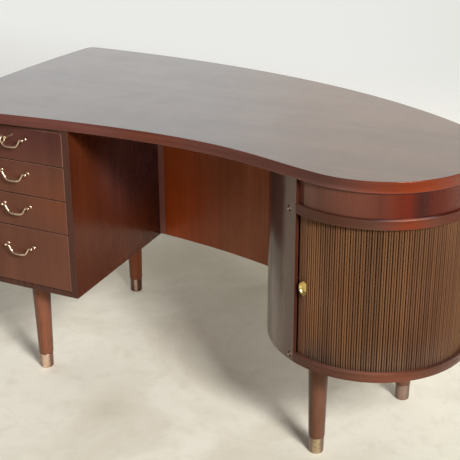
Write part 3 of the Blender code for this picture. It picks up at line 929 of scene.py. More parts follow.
def bent(plan: Plan, section: Section, start: float, stop: float, steps: int) -> Work:
    """Bends a strip of rectangular section round the cabinet's axis.

    Args:
        plan: The plan frame.
        section: The inner radius, outer radius, low and high level.
        start: The turn where it starts, in degrees.
        stop: The turn where it stops.
        steps: The facets along it.

    Returns:
        The mesh.
    """
    inner, outer, low, high = section
    work = bmesh.new()
    corners = [plan.around(radius, start, level)
               for radius, level in ((inner, low), (outer, low), (outer, high), (inner, high))]
    face = work.faces.new([work.verts.new(corner) for corner in corners])
    bmesh.ops.spin(work, geom=[face, *face.edges, *face.verts], axis=UP, cent=plan.axis(),
                   angle=math.radians(stop - start), steps=steps)
    return outward(work)


def swept(path: list[Vector], radii: list[float], sides: int = 14) -> Work:
    """Sweeps a round section along a path.

    Args:
        path: The points of the path.
        radii: The section's radius at each point.
        sides: The facets round it.

    Returns:
        The mesh.
    """
    work = bmesh.new()
    ring = bmesh.ops.create_circle(work, segments=sides, radius=1.0, cap_ends=True)["verts"]
    home = [vert.co.copy() for vert in ring]
    for index, (point, radius) in enumerate(zip(path, radii)):
        ahead = path[min(index + 1, len(path) - 1)] - path[max(index - 1, 0)]
        turn = UP.rotation_difference(ahead).to_matrix()
        if index:
            cap = next(face for face in work.faces if all(vert in ring for vert in face.verts))
            grown = bmesh.ops.extrude_face_region(work, geom=[cap])["geom"]
            fresh = {vert for vert in grown if isinstance(vert, bmesh.types.BMVert)}
            ring = [next(edge.other_vert(old) for edge in old.link_edges if edge.other_vert(old) in fresh)
                    for old in ring]
        for vert, start in zip(ring, home):
            vert.co = point + turn @ (start * radius)
    return outward(work)


def smooth_path(points: list[Vector], steps: int) -> list[Vector]:
    """Runs a smooth line through some points.

    Args:
        points: The points to pass.
        steps: The steps between two of them.

    Returns:
        The line's points.
    """
    line = [points[0]]
    for index in range(len(points) - 1):
        before = points[max(index - 1, 0)]
        start, stop = points[index], points[index + 1]
        after = points[min(index + 2, len(points) - 1)]
        first = start + (stop - before) / 6
        second = stop - (after - start) / 6
        line += interpolate_bezier(start, first, second, stop, steps + 1)[1:]
    return line


def join(work: Work, extra: Work) -> Work:
    """Adds another mesh to a mesh.

    Args:
        work: The mesh that it is added to.
        extra: The other mesh, which is used up.

    Returns:
        The joined mesh.
    """
    mesh = mesh_of("extra", extra)
    work.from_mesh(mesh)
    bpy.data.meshes.remove(mesh)
    return work


def carve(target: bpy.types.Object, cutter: Work) -> None:
    """Cuts a closed mesh out of a piece.

    Args:
        target: The piece, whose mesh is changed.
        cutter: The mesh to cut out, which is used up.
    """
    tool = put("cutter", mesh_of("cutter", cutter))
    cut = target.modifiers.new("cut", "BOOLEAN")
    cut.operation, cut.solver, cut.object = "DIFFERENCE", "EXACT", tool
    target.modifiers.move(len(target.modifiers) - 1, 0)
    hidden = target.modifiers["even normals"]
    hidden.show_viewport = False
    graph = bpy.context.evaluated_depsgraph_get()
    carved = bpy.data.meshes.new_from_object(target.evaluated_get(graph))
    target.modifiers.remove(cut)
    hidden.show_viewport = True
    target.data = carved
    bpy.data.objects.remove(tool)


@dataclass
class KidneyTop:
    """The kidney shaped top: a veneered slab with an edge band.

    Its outline runs round the cabinet, along the back, the left end and the front. A turn is the
    outline's direction at a corner, in degrees, and a pair of handles shapes a stretch's curve.
    """

    shop: Shop
    plan: Plan
    height: float = 0.740
    thickness: float = 0.026
    arris: float = 0.0020
    end_radius: float = 0.243
    end_start: float = -103.75
    end_stop: float = 54.2
    front_left: Spot = (-0.377, -0.042)
    back_left: Spot = (-0.331, 0.633)
    front_corner: Spot = (0.022, 0.028)
    back_corner: Spot = (0.026, 0.031)
    back_turn: float = 1.24
    left_turn: float = 80.5
    front_turn: float = 7.8
    back_handles: Spot = (0.3864, 0.4187)
    back_corner_handles: Spot = (0.01612, 0.01922)
    left_handles: Spot = (0.200, 0.200)
    front_corner_handles: Spot = (0.01736, 0.01364)
    front_handles: Spot = (0.758, 0.2103)
    end_steps: int = 110
    long_steps: int = 72
    left_steps: int = 24
    corner_steps: int = 12

    def run(self, ends: tuple[Vector, Vector], turns: Spot, handles: Spot, steps: int) -> list[Vector]:
        """Returns a curve whose handle at each end has a set turn and length.

        Args:
            ends: Its first and last point.
            turns: The handles' directions, in degrees.
            handles: The handles' lengths.
            steps: The steps along it.

        Returns:
            Its points.
        """
        knots = []
        for point, turn, reach in zip(ends, turns, handles):
            angle = math.radians(turn)
            knots.append(point + reach * Vector((math.cos(angle), math.sin(angle), 0.0)))
        return interpolate_bezier(ends[0], *knots, ends[1], steps + 1)

    def outline(self) -> list[Vector]:
        """Returns the outline at the slab's underside."""
        low = self.height - self.thickness
        span = self.end_stop - self.end_start
        end = [self.plan.around(self.end_radius, self.end_start + span * step / self.end_steps, low)
               for step in range(self.end_steps + 1)]
        back_x, back_y = self.back_left
        front_x, front_y = self.front_left
        back = self.plan.point(back_x + self.back_corner[0], back_y, low)
        left_back = self.plan.point(back_x, back_y - self.back_corner[1], low)
        left_front = self.plan.point(front_x, front_y + self.front_corner[1], low)
        front = self.plan.point(front_x + self.front_corner[0], front_y, low)
        stretches = (
            ((end[-1], back), (self.end_stop + 90, self.back_turn), self.back_handles, self.long_steps),
            ((back, left_back), (self.back_turn + 180, self.left_turn), self.back_corner_handles,
             self.corner_steps),
            ((left_back, left_front), (self.left_turn + 180, 90), self.left_handles, self.left_steps),
            ((left_front, front), (270, self.front_turn + 180), self.front_corner_handles,
             self.corner_steps),
            ((front, end[0]), (self.front_turn, self.end_start - 90), self.front_handles, self.long_steps),
        )
        points = end[:]
        for stretch in stretches:
            points += self.run(*stretch)[1:]
        return points[:-1]

    def build(self) -> None:
        """Makes the slab."""
        work = ease(slab(self.outline(), self.thickness), self.arris, 4)
        for face in work.faces:
            if abs(face.normal.z) > LEVEL_FACE:
                face.material_index = 0 if face.normal.z > 0 else 2
            else:
                # Downward leaning arris faces take the lighter edge_arris finish, a painted highlight.
                face.material_index = 3 if face.normal.z < -LEANING_FACE else 1
        coats = ["top_veneer", "edge_veneer", "inside_panel", "edge_arris"]
        self.shop.piece("kidney_top", work, coats, "desk", "top_wood", ("desk_top",))


@dataclass
class Pedestal:
    """The drawer pedestal's case boards."""

    shop: Shop
    arris: float = 0.0011

    def build(self) -> None:
        """Makes the case: sides, bottom, top and back, and dresses the dividers."""
        for node in ("pedestal_side_left", "pedestal_side_right"):
            self.board(node, "case_veneer")
        for node in ("pedestal_bottom", "pedestal_top"):
            self.board(node, "case_lipping")
        self.board("pedestal_back", "case_veneer")
        for index in (1, 2, 3):
            self.shop.dress(f"drawer_divider_{index}", "inside_beech")

    def board(self, node: str, coat: str) -> None:
        """Makes one board in its CAD node's place.

        Args:
            node: The CAD node.
            coat: The finish of its broad faces.
        """
        work = block(*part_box(node), self.arris)
        for face in work.faces:
            broad = max(abs(face.normal.x), abs(face.normal.z)) > BROAD_FACE
            face.material_index = 0 if broad or node == "pedestal_back" else 1
        name = f"case_{node.removeprefix('pedestal_')}"
        self.shop.piece(name, work, [coat, "case_lipping"], "desk", "case_wood", (node,))


@dataclass
class SwanNeckPull:
    """A swan neck pull: two turned posts with ball heads and the hanging bail."""

    shop: Shop
    number: int
    reach: float = 0.012
    wire: float = 0.0021
    swell: float = 1.10
    taper: float = 0.30
    ball: float = 0.0037
    ball_start: float = -48.0
    ball_stop: float = 90.0
    ball_steps: int = 8
    bail_sunk: float = 0.0006
    post_facets: int = 32
    path_steps: int = 6
    post: tuple[Spot, ...] = (
        (0.0, 0.0), (0.0038, 0.0), (0.0041, 0.0005), (0.0038, 0.0013), (0.0027, 0.0019),
        (0.0022, 0.0030), (0.0019, 0.0042), (0.0018, 0.0072), (0.0023, 0.0082), (0.0024, 0.0089))
    neck: tuple[Spot, ...] = (
        (0.0318, 0.0), (0.0301, -0.0008), (0.0291, -0.0030), (0.0271, -0.0062),
        (0.0242, -0.0110), (0.0185, -0.0174), (0.0112, -0.0202), (0.0, -0.0210))

    def post_profile(self) -> list[Spot]:
        """Returns a post's outline from its seat to the front of its ball."""
        points = list(self.post)
        span = self.ball_stop - self.ball_start
        for step in range(self.ball_steps):
            turn = math.radians(self.ball_start + span * step / self.ball_steps)
            points.append((self.ball * math.cos(turn), self.reach + self.ball * math.sin(turn)))
        return [*points, (0.0, self.reach + self.ball)]

    def build(self) -> None:
        """Makes the posts and the bail."""
        heads = []
        for side in ("left", "right"):
            node = f"drawer_{self.number}_post_{side}"
            heads.append(back_middle(node))
            work = turned(self.post_profile(), heads[-1], TO_FRONT, self.post_facets)
            self.shop.round_piece(f"pull_post_{self.number}_{side}", work, ["pull_brass"],
                                  f"drawer_{self.number}", "pull_brass", node)
        centre = (heads[0] + heads[1]) / 2 + self.reach * TO_FRONT
        half = [((heads[1] - heads[0]).length / 2 - self.ball + self.bail_sunk, 0.0), *self.neck]
        full = half + [(-x, z) for x, z in reversed(half[:-1])]
        path = smooth_path([centre + Vector((x, 0.0, z)) for x, z in full], self.path_steps)
        last = len(path) - 1
        radii = [self.wire * (self.swell - self.taper * abs(2 * index / last - 1) ** 3)
                 for index in range(last + 1)]
        self.shop.piece(f"bail_{self.number}_swan_neck", swept(path, radii), ["pull_brass"],
                        f"bail_{self.number}", "pull_brass", (f"drawer_{self.number}_bail",), WIRE_SHARP)


@dataclass
class Drawer:
    """One drawer: its front with lighter arrises, partly wear and partly a painted highlight, its box and
    its pull.
    """

    shop: Shop
    number: int
    wall: float = 0.009
    arris: float = 0.0013
    box_arris: float = 0.0016
    bore: float = 0.0049
    bore_over: float = 0.004

    def build(self) -> None:
        """Makes the drawer."""
        body = f"drawer_{self.number}"
        low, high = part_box(f"{body}_front")
        work = block(low, high, self.arris)
        for face in work.faces:
            # Arris faces take the lighter finish: partly wear, partly a painted highlight.
            face.material_index = 0 if max(abs(part) for part in face.normal) > BROAD_FACE else 1
        front = self.shop.piece(f"{body}_face", work, ["front_veneer", "arris_wear_and_sheen"], body, "front_wood",
                                (f"{body}_front",))
        if self.number == 1:
            foot = back_middle("lock_barrel")
            foot.y = low.y - self.bore_over
            carve(front, turned(rod(self.bore, high.y - low.y + 2 * self.bore_over), foot, TO_BACK))
        self.build_box(body)
        self.shop.dress(f"{body}_floor", "inside_panel")
        SwanNeckPull(self.shop, self.number).build()

    def build_box(self, body: str) -> None:
        """Makes the four walls of the drawer's box.

        Args:
            body: The drawer's body.
        """
        low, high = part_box(f"{body}_box")
        work = bmesh.new()
        size = high - low
        place = Matrix.Translation(foot_middle(f"{body}_box"))
        bmesh.ops.create_grid(work, x_segments=1, y_segments=1, size=0.5,
                              matrix=place @ Matrix.Diagonal((size.x, size.y, 1.0, 1.0)))
        bmesh.ops.inset_region(work, faces=work.faces[:], thickness=self.wall, use_boundary=True,
                               use_even_offset=True)
        middle = min(work.faces, key=lambda face: (face.calc_center_median() - place.translation).length)
        bmesh.ops.delete(work, geom=[middle], context="FACES_ONLY")
        lift(work, work.faces[:], size.z)
        self.shop.piece(f"{body}_walls", ease(outward(work), self.box_arris), ["inside_beech"], body,
                        "inside_wood", (f"{body}_box",))


@dataclass
class LockAndKey:
    """The first drawer's lock and the ring bowed key in it."""

    shop: Shop
    shank: float = 0.0019
    collar: float = 0.0052
    bow_radius: float = 0.0078
    bow_wire: float = 0.0014
    seated: float = 0.0018
    barrel_arris: float = 0.0003
    shank_facets: int = 24
    wire_facets: int = 12
    bow_facets: int = 40

    def shank_profile(self, length: float) -> list[Spot]:
        """Returns the shank's outline, with its collar and the neck under the bow.

        Args:
            length: The shank's length.

        Returns:
            Points of (radius, reach along the axis).
        """
        thin = self.shank * 0.9
        thick = self.shank * 1.5
        start = length - self.collar
        return [(0.0, 0.0), (thin, 0.0), (self.shank, 0.0004), (self.shank, start), (thick, start + 0.0005),
                (thick, start + 0.0014), (self.shank, start + 0.0019), (thin, length - 0.0016),
                (self.shank * 1.35, length - 0.0004), (self.shank * 1.2, length + 0.0010),
                (0.0, length + 0.0013)]

    def build(self) -> None:
        """Makes the lock barrel and the key."""
        barrel = ease(self.shop.merged("lock_barrel"), self.barrel_arris, 2)
        self.shop.piece("lock_cylinder", barrel, ["dark_bronze"], "drawer_1", "pull_brass",
                        ("lock_barrel",))
        low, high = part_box("key")
        foot = back_middle("key")
        length = high.y - low.y - 2 * self.bow_radius - self.bow_wire - self.seated
        work = turned(self.shank_profile(length), foot, TO_FRONT, self.shank_facets)
        ring = bmesh.new()
        place = Matrix.Translation((self.bow_radius, 0.0, 0.0)) @ Matrix.Rotation(math.pi / 2, 4, "X")
        circle = bmesh.ops.create_circle(ring, segments=self.wire_facets, radius=self.bow_wire,
                                         matrix=place)
        bmesh.ops.spin(ring, geom=circle["verts"] + ring.edges[:], axis=UP, cent=CENTRE, angle=2 * math.pi,
                       steps=self.bow_facets, use_merge=True)
        bmesh.ops.remove_doubles(ring, verts=ring.verts[:], dist=WELD)
        centre = foot + Vector((0.0, -length - self.bow_radius, 0.0))
        stand(ring, Matrix.Translation(centre) @ Matrix.Rotation(math.pi / 2, 4, "Y"))
        self.shop.round_piece("drawer_key", join(work, outward(ring)), ["key_brass"], "key",
                              "pull_brass", "key")


@dataclass
class ModestyPanel:
    """The bowed panel at the back of the kneehole and its batten."""

    shop: Shop
    batten_arris: float = 0.0012

    def build(self) -> None:
        """Makes the panel, whose face is painted lighter and more orange than its back to stand in for
        light, and the batten.
        """
        work = self.shop.merged("modesty_panel")
        for face in work.faces:
            face.material_index = 1 if face.normal.y > LEANING_FACE else 0
        self.shop.round_piece("bowed_panel", work, ["panel_face_painted_glow", "panel_back_veneer"], "desk",
                              "case_wood", "modesty_panel")
        batten = block(*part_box("modesty_batten"), self.batten_arris)
        self.shop.piece("panel_batten", batten, ["batten_wood"], "desk", "case_wood", ("modesty_batten",))


@dataclass
class RoundCabinet:
    """The round cabinet: bent wall, plates, frieze, screws and inside."""

    shop: Shop
    plan: Plan
    radius: float = 0.2415
    wall: float = 0.010
    wall_arris: float = 0.0007
    opening_start: float = -117.3
    opening_stop: float = 40.0
    wall_over: float = 0.4
    wall_facets: int = 136
    end_face: float = 0.9
    frieze_setback: float = 0.0065
    frieze_thickness: float = 0.012
    frieze_end: float = 4.4
    frieze_arris: float = 0.0009
    frieze_facets: int = 100
    inner_arris: float = 0.0008
    lip_reach: float = 0.2325
    lip_gap: float = 0.001
    lip_turns: Spot = (0.6, 0.15)
    lip_arris: float = 0.0004
    lip_facets: int = 4
    screws: tuple[Spot, ...] = ((-122.0, 0.638), (-119.5, 0.285))
    screw_sink: tuple[Spot, ...] = (
        (0.0, -0.0044), (0.0052, -0.0044), (0.0070, 0.0004), (0.0070, 0.0040), (0.0, 0.0040))
    screw_head: tuple[Spot, ...] = (
        (0.0, -0.0040), (0.0048, -0.0040), (0.0048, -0.0030), (0.00384, -0.0020), (0.00192, -0.0014),
        (0.0, -0.0012))
    screw_slot: tuple[Point, Point] = ((-0.006, -0.0006, -0.0028), (0.006, 0.0006, 0.002))
    screw_facets: int = 32

    def build(self) -> None:
        """Makes the cabinet."""
        self.build_wall()
        self.build_frieze()
        for node in ("cabinet_bottom", "cabinet_top"):
            plate = self.shop.merged(node)
            for face in plate.faces:
                # Leaning arris faces take the lighter ring_arris finish, a painted highlight.
                face.material_index = 1 if LEANING_FACE < face.normal.z < LEVEL_FACE else 0
            self.shop.round_piece(node.replace("cabinet", "plate"), plate, ["ring_wood", "ring_arris"],
                                  "desk", "case_wood", node)
        self.build_inside()

    def build_wall(self) -> None:
        """Makes the bent wall with its bare end edges and its two sunk screws."""
        low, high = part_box("cabinet_wall")
        section = (self.radius - self.wall, self.radius, low.z, high.z)
        stop = self.opening_start + FULL_TURN + self.wall_over
        work = ease(bent(self.plan, section, self.opening_stop, stop, self.wall_facets), self.wall_arris)
        axis = self.plan.axis()
        for face in work.faces:
            out = face.calc_center_median() - axis
            out.z = 0.0
            around = out.normalized().cross(UP)
            face.material_index = 1 if abs(face.normal.dot(around)) > self.end_face else 0
        wall = self.shop.piece("bent_wall", work, ["wall_veneer", "wall_edge"], "desk", "wall_wood",
                               ("cabinet_wall",))
        for index, (angle, level) in enumerate(self.screws, start=1):
            spot = self.plan.around(self.radius, angle, level)
            out = self.plan.around(self.radius + 1.0, angle, level) - spot
            carve(wall, turned(self.screw_sink, spot, out, self.screw_facets))
            head = turned(self.screw_head, spot, out, self.screw_facets)
            screw = self.shop.piece(f"wall_screw_{index}", head, ["screw_brass"], "desk", "pull_brass")
            slot = block(Vector(self.screw_slot[0]), Vector(self.screw_slot[1]), 0.0, 1)
            stand(slot, aimed(spot, out))
            carve(screw, slot)

    def build_frieze(self) -> None:
        """Makes the frieze band under the top and the glue blocks at its ends."""
        low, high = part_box("cabinet_apron")
        outer = self.radius - self.frieze_setback
        section = (outer - self.frieze_thickness, outer, low.z, high.z)
        work = bent(self.plan, section, self.opening_start + self.frieze_end,
                    self.opening_stop - self.frieze_end, self.frieze_facets)
        self.shop.piece("frieze_band", ease(work, self.frieze_arris), ["frieze_veneer"], "desk",
                        "case_wood", ("cabinet_apron",))
        for side in ("left", "right"):
            node = f"apron_block_{side}"
            work = ease(self.shop.merged(node), self.inner_arris, 2)
            if side == "left":
                self.add_lip(work, low.z, high.z)
            self.shop.piece(f"glue_block_{side}", work, ["block_wood"], "desk", "case_wood", (node,))

    def add_lip(self, work: Work, low: float, high: float) -> None:
        """Adds the glue block's lip, which fills the gap between wall and frieze.

        Args:
            work: The block's mesh.
            low: The frieze's lower level.
            high: Its upper level.
        """
        back = self.radius - self.frieze_setback - self.frieze_thickness - self.lip_gap
        section = (back, self.lip_reach, low + self.lip_gap, high - self.lip_gap)
        start = self.opening_start + self.lip_turns[0]
        stop = self.opening_start + self.frieze_end - self.lip_turns[1]
        join(work, ease(bent(self.plan, section, start, stop, self.lip_facets), self.lip_arris, 2))

    def build_inside(self) -> None:
        """Dresses the liner and makes the shelf and its posts."""
        self.shop.dress("cabinet_liner", "inside_panel")
        self.shop.round_piece("round_shelf", self.shop.merged("cabinet_shelf"), ["inside_beech"], "desk",
                              "inside_wood", "cabinet_shelf")
        for side in ("left", "right"):
            node = f"shelf_post_{side}"
            low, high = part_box(node)
            peg = turned(rod((high.x - low.x) / 2, high.z - low.z), foot_middle(node))
            self.shop.piece(f"shelf_peg_{side}", ease(peg, self.inner_arris, 2), ["inside_beech"], "desk",
                            "inside_wood", (node,))


@dataclass
class Tambour:
    """The sliding tambour: two-ribbed slats on canvas, lead stile and cup pull.

    Turns are in degrees about the cabinet's axis. Ribs are placed by shares of a slat's width.
    """

    shop: Shop
    plan: Plan
    inner: float = 0.224
    outer: float = 0.231
    rib_foot: float = 0.0036
    rib_middles: Spot = (0.726, 0.274)
    rib_half: float = 0.208
    rib_steps: int = 8
    rib_fullness: float = 0.65
    groove_drop: float = 0.0005
    slat_sides: Spot = (0.02, 0.98)
    slat_wear: float = 0.0003
    glue: float = 0.0001
    batch: int = 3
    seed: int = 17
    first: float = -110.6
    slat_angle: float = 2.80
    count: int = 54
    stile_start: float = -116.2
    stile_angle: float = 5.5
    stile_middles: tuple[float, float, float] = (0.835, 0.50, 0.165)
    stile_half: float = 0.150
    stile_foot: float = 0.0064
    canvas: float = 0.0006
    canvas_margin: float = 0.001
    canvas_facets: int = 150
    pull_angle: float = -112.25
    pull_height: float = 0.462
    pull_radius: float = 0.018
    pull_gap: float = 0.0003
    pull_facets: int = 40
    dish: tuple[Spot, ...] = (
        (0.0, 0.0), (0.0178, 0.0), (0.0180, 0.0006), (0.0180, 0.0052), (0.0176, 0.0065),
        (0.0169, 0.0073), (0.0161, 0.0075), (0.0153, 0.0072), (0.0147, 0.0064), (0.0142, 0.0050),
        (0.0132, 0.0032), (0.0115, 0.0021), (0.0090, 0.0016), (0.0, 0.0015))

    def build(self) -> None:
        """Makes the tambour."""
        low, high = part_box("tambour_slats")
        slats = self.build_slats(low.z, high.z)
        section = (self.inner, self.inner + self.canvas, low.z + self.canvas_margin,
                   high.z - self.canvas_margin)
        last = self.first + self.slat_angle * self.count
        strip = bent(self.plan, section, self.first, last, self.canvas_facets)
        cloth = self.shop.piece("slat_backing", strip, ["backing_canvas"], "tambour", "slat_wood")
        shape = self.ribbed(self.stile_middles, self.stile_half, self.stile_foot, self.outer)
        stile = bmesh.new()
        self.raise_strip(stile, self.stile_start, self.stile_angle,
                         [(self.inner, 0.0), (self.inner, 1.0), *shape], low.z, high.z)
        self.shop.round_piece("lead_stile", outward(stile), ["stile_wood"], "tambour", "slat_wood",
                              "tambour_stile")
        self.build_pull()

    def ribbed(self, middles: tuple[float, ...], half: float, foot: float, crown: float) -> list[Spot]:
        """Returns a slat's outer line: rounded ribs with grooves between them.

        Args:
            middles: Where the ribs' middles lie, from right to left.
            half: Half a rib's width.
            foot: The height of the ribs' feet over the slat's back.
            crown: The radius of the ribs' crowns.

        Returns:
            Points of (radius, share of the width).
        """
        line = []
        base = self.inner + foot
        for middle in middles:
            if line:
                line.append((base - self.groove_drop, (line[-1][1] + middle + half) / 2))
            for step in range(self.rib_steps + 1):
                turn = math.radians(180 * step / self.rib_steps)
                rise = (crown - base) * max(math.sin(turn), 0.0) ** self.rib_fullness
                line.append((base + rise, middle + half * math.cos(turn)))
        return line

    def raise_strip(self, work: Work, start: float, width: float, shape: list[Spot], low: float,
                    high: float) -> list[bmesh.types.BMFace]:
        """Raises a slat's section into an upright strip.

        Args:
            work: The mesh that it is added to.
            start: The turn of its left edge.
            width: Its width, as a turn.
            shape: Its section as points of (radius, share of the width).
            low: The level of its foot.
            high: The level of its head.

        Returns:
            Its faces.
        """
        corners = [self.plan.around(radius, start + width * share, low) for radius, share in shape]
        base = work.faces.new([work.verts.new(corner) for corner in corners])
        lifted = lift(work, [base], high - low)
        return list({base} | {face for vert in lifted for face in vert.link_faces})

    def build_slats(self, low: float, high: float) -> bpy.types.Object:
        """Makes the two-ribbed slats side by side.

        Args:
            low: The level of their feet.
            high: The level of their heads.

        Returns:
            The piece.
        """
        chance = random.Random(self.seed)
        work = bmesh.new()
        tone = work.faces.layers.float.new("slat_tone")
        back = self.inner + self.canvas + self.glue
        for index in range(self.count):
            crown = self.outer - chance.uniform(0.0, self.slat_wear)
            shape = self.ribbed(self.rib_middles, self.rib_half, self.rib_foot, crown)
            sides = [(back, share) for share in self.slat_sides]
            start = self.first + self.slat_angle * index
            faces = self.raise_strip(work, start, self.slat_angle, sides + shape, low, high)
            if index % self.batch == 0:
                batch = chance.uniform(0.0, 1.0)
            shade = (batch + chance.uniform(0.0, 1.0)) / 2
            for face in faces:
                face[tone] = shade
        return self.shop.round_piece("tambour_ribs", outward(work), ["slat_wood"], "tambour", "slat_wood",
                                     "tambour_slats")

    def build_pull(self) -> None:
        """Makes the half round cup pull: a dish with a rolled rim, open to the right."""
        seat = self.plan.around(self.outer + self.pull_gap, self.pull_angle, self.pull_height)
        turn = math.radians(self.pull_angle) + math.pi / 2
        half = self.pull_radius / 2
        work = bmesh.new()
        face = work.faces.new([work.verts.new((half, -rise, radius)) for radius, rise in self.dish])
        bmesh.ops.spin(work, geom=[face, *face.edges, *face.verts], axis=TO_FRONT, cent=(half, 0.0, 0.0),
                       angle=math.pi, steps=self.pull_facets)
        bmesh.ops.remove_doubles(work, verts=work.verts[:], dist=WELD)
        stand(work, Matrix.Translation(seat) @ Matrix.Rotation(turn, 4, "Z"))
        self.shop.round_piece("cup_pull_dish", outward(work), ["cup_brass"], "tambour", "pull_brass",
                              "tambour_pull")


@dataclass
class TurnedLegs:
    """The four tapered legs and their ferrules."""

    shop: Shop
    top_radius: float = 0.0249
    foot_radius: float = 0.0194
    neck_radius: float = 0.0181
    ferrule_height: float = 0.042
    # The turn of the side painted with a lighter sheen; faces turned away from it are painted darker.
    sheen_side: float = math.radians(24.0)
    facets: int = 64

    def leg_profile(self, reach: float) -> list[Spot]:
        """Returns a leg's outline from its neck in the ferrule to its head.

        Args:
            reach: The leg's length.

        Returns:
            Points of (radius, reach along the axis).
        """
        foot = self.foot_radius
        return [(0.0, 0.0), (self.neck_radius - 0.0002, 0.0), (foot - 0.0006, 0.0014), (foot, 0.0030),
                (foot + 0.0013, reach * 0.30), (foot + 0.0027, reach * 0.60),
                (self.top_radius, reach - 0.0010), (self.top_radius - 0.0008, reach), (0.0, reach)]

    def ferrule_profile(self) -> list[Spot]:
        """Returns a ferrule's outline from its rounded foot to its rolled rim."""
        neck = self.neck_radius
        top = self.ferrule_height
        return [(0.0, 0.0), (neck - 0.0030, 0.0), (neck - 0.0014, 0.0005), (neck - 0.0007, 0.0018),
                (neck - 0.0005, 0.0050), (neck, top - 0.0026), (neck + 0.0004, top - 0.0020),
                (neck + 0.0004, top - 0.0006), (neck, top), (0.0, top)]

    def build(self) -> None:
        """Makes the legs and the ferrules."""
        # The back legs' ferrules get darker copies of the finish: painted shade.
        coats = {"pedestal_front": "ferrule_copper", "pedestal_back": "ferrule_shaded_back",
                 "cabinet_front": "ferrule_bronze", "cabinet_back": "ferrule_brown"}
        for name, coat in coats.items():
            low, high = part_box(f"leg_{name}")
            foot = foot_middle(f"leg_{name}")
            leg = turned(self.leg_profile(high.z - low.z), foot, steps=self.facets)
            self.shop.round_piece(f"turned_leg_{name}", self.mark(leg), ["leg_wood"], "desk", "leg_wood",
                                  f"leg_{name}")
            foot.z = 0.0
            cup = turned(self.ferrule_profile(), foot, steps=self.facets)
            self.shop.round_piece(f"foot_cup_{name}", self.mark(cup), [coat], "desk", "ferrule_brass",
                                  f"ferrule_{name}")

    def mark(self, work: Work) -> Work:
        """Marks how far each face looks towards the front, a little to the right: the side painted with a
        lighter sheen.

        Args:
            work: A turned mesh.

        Returns:
            The same mesh, with the mark on its faces.
        """
        work.normal_update()
        layer = work.faces.layers.float.new("painted_sheen")
        side = Vector((math.sin(self.sheen_side), -math.cos(self.sheen_side), 0.0))
        for face in work.faces:
            face[layer] = max(face.normal.dot(side), 0.0)
        return work


@dataclass(frozen=True)
class Lamp:
    """A soft square lamp: where it hangs from the desk, its side, its power and its colour."""

    name: str
    turn: float
    rise: float
    distance: float
    side: float
    power: float
    colour: Colour

    def hang(self, aim: Vector) -> None:
        """Hangs the lamp.

        Args:
            aim: The place that it is turned to.
        """
        turn, rise = math.radians(self.turn), math.radians(self.rise)
        out = Vector((math.sin(turn) * math.cos(rise), -math.cos(turn) * math.cos(rise), math.sin(rise)))
        data = bpy.data.lights.new(self.name, "AREA")
        data.size, data.energy, data.color = self.side, self.power, self.colour
        lamp = put(self.name, data)
        lamp.location = aim + self.distance * out
        lamp.rotation_euler = (-out).to_track_quat("-Z", "Y").to_euler()
        lamp.visible_camera = False


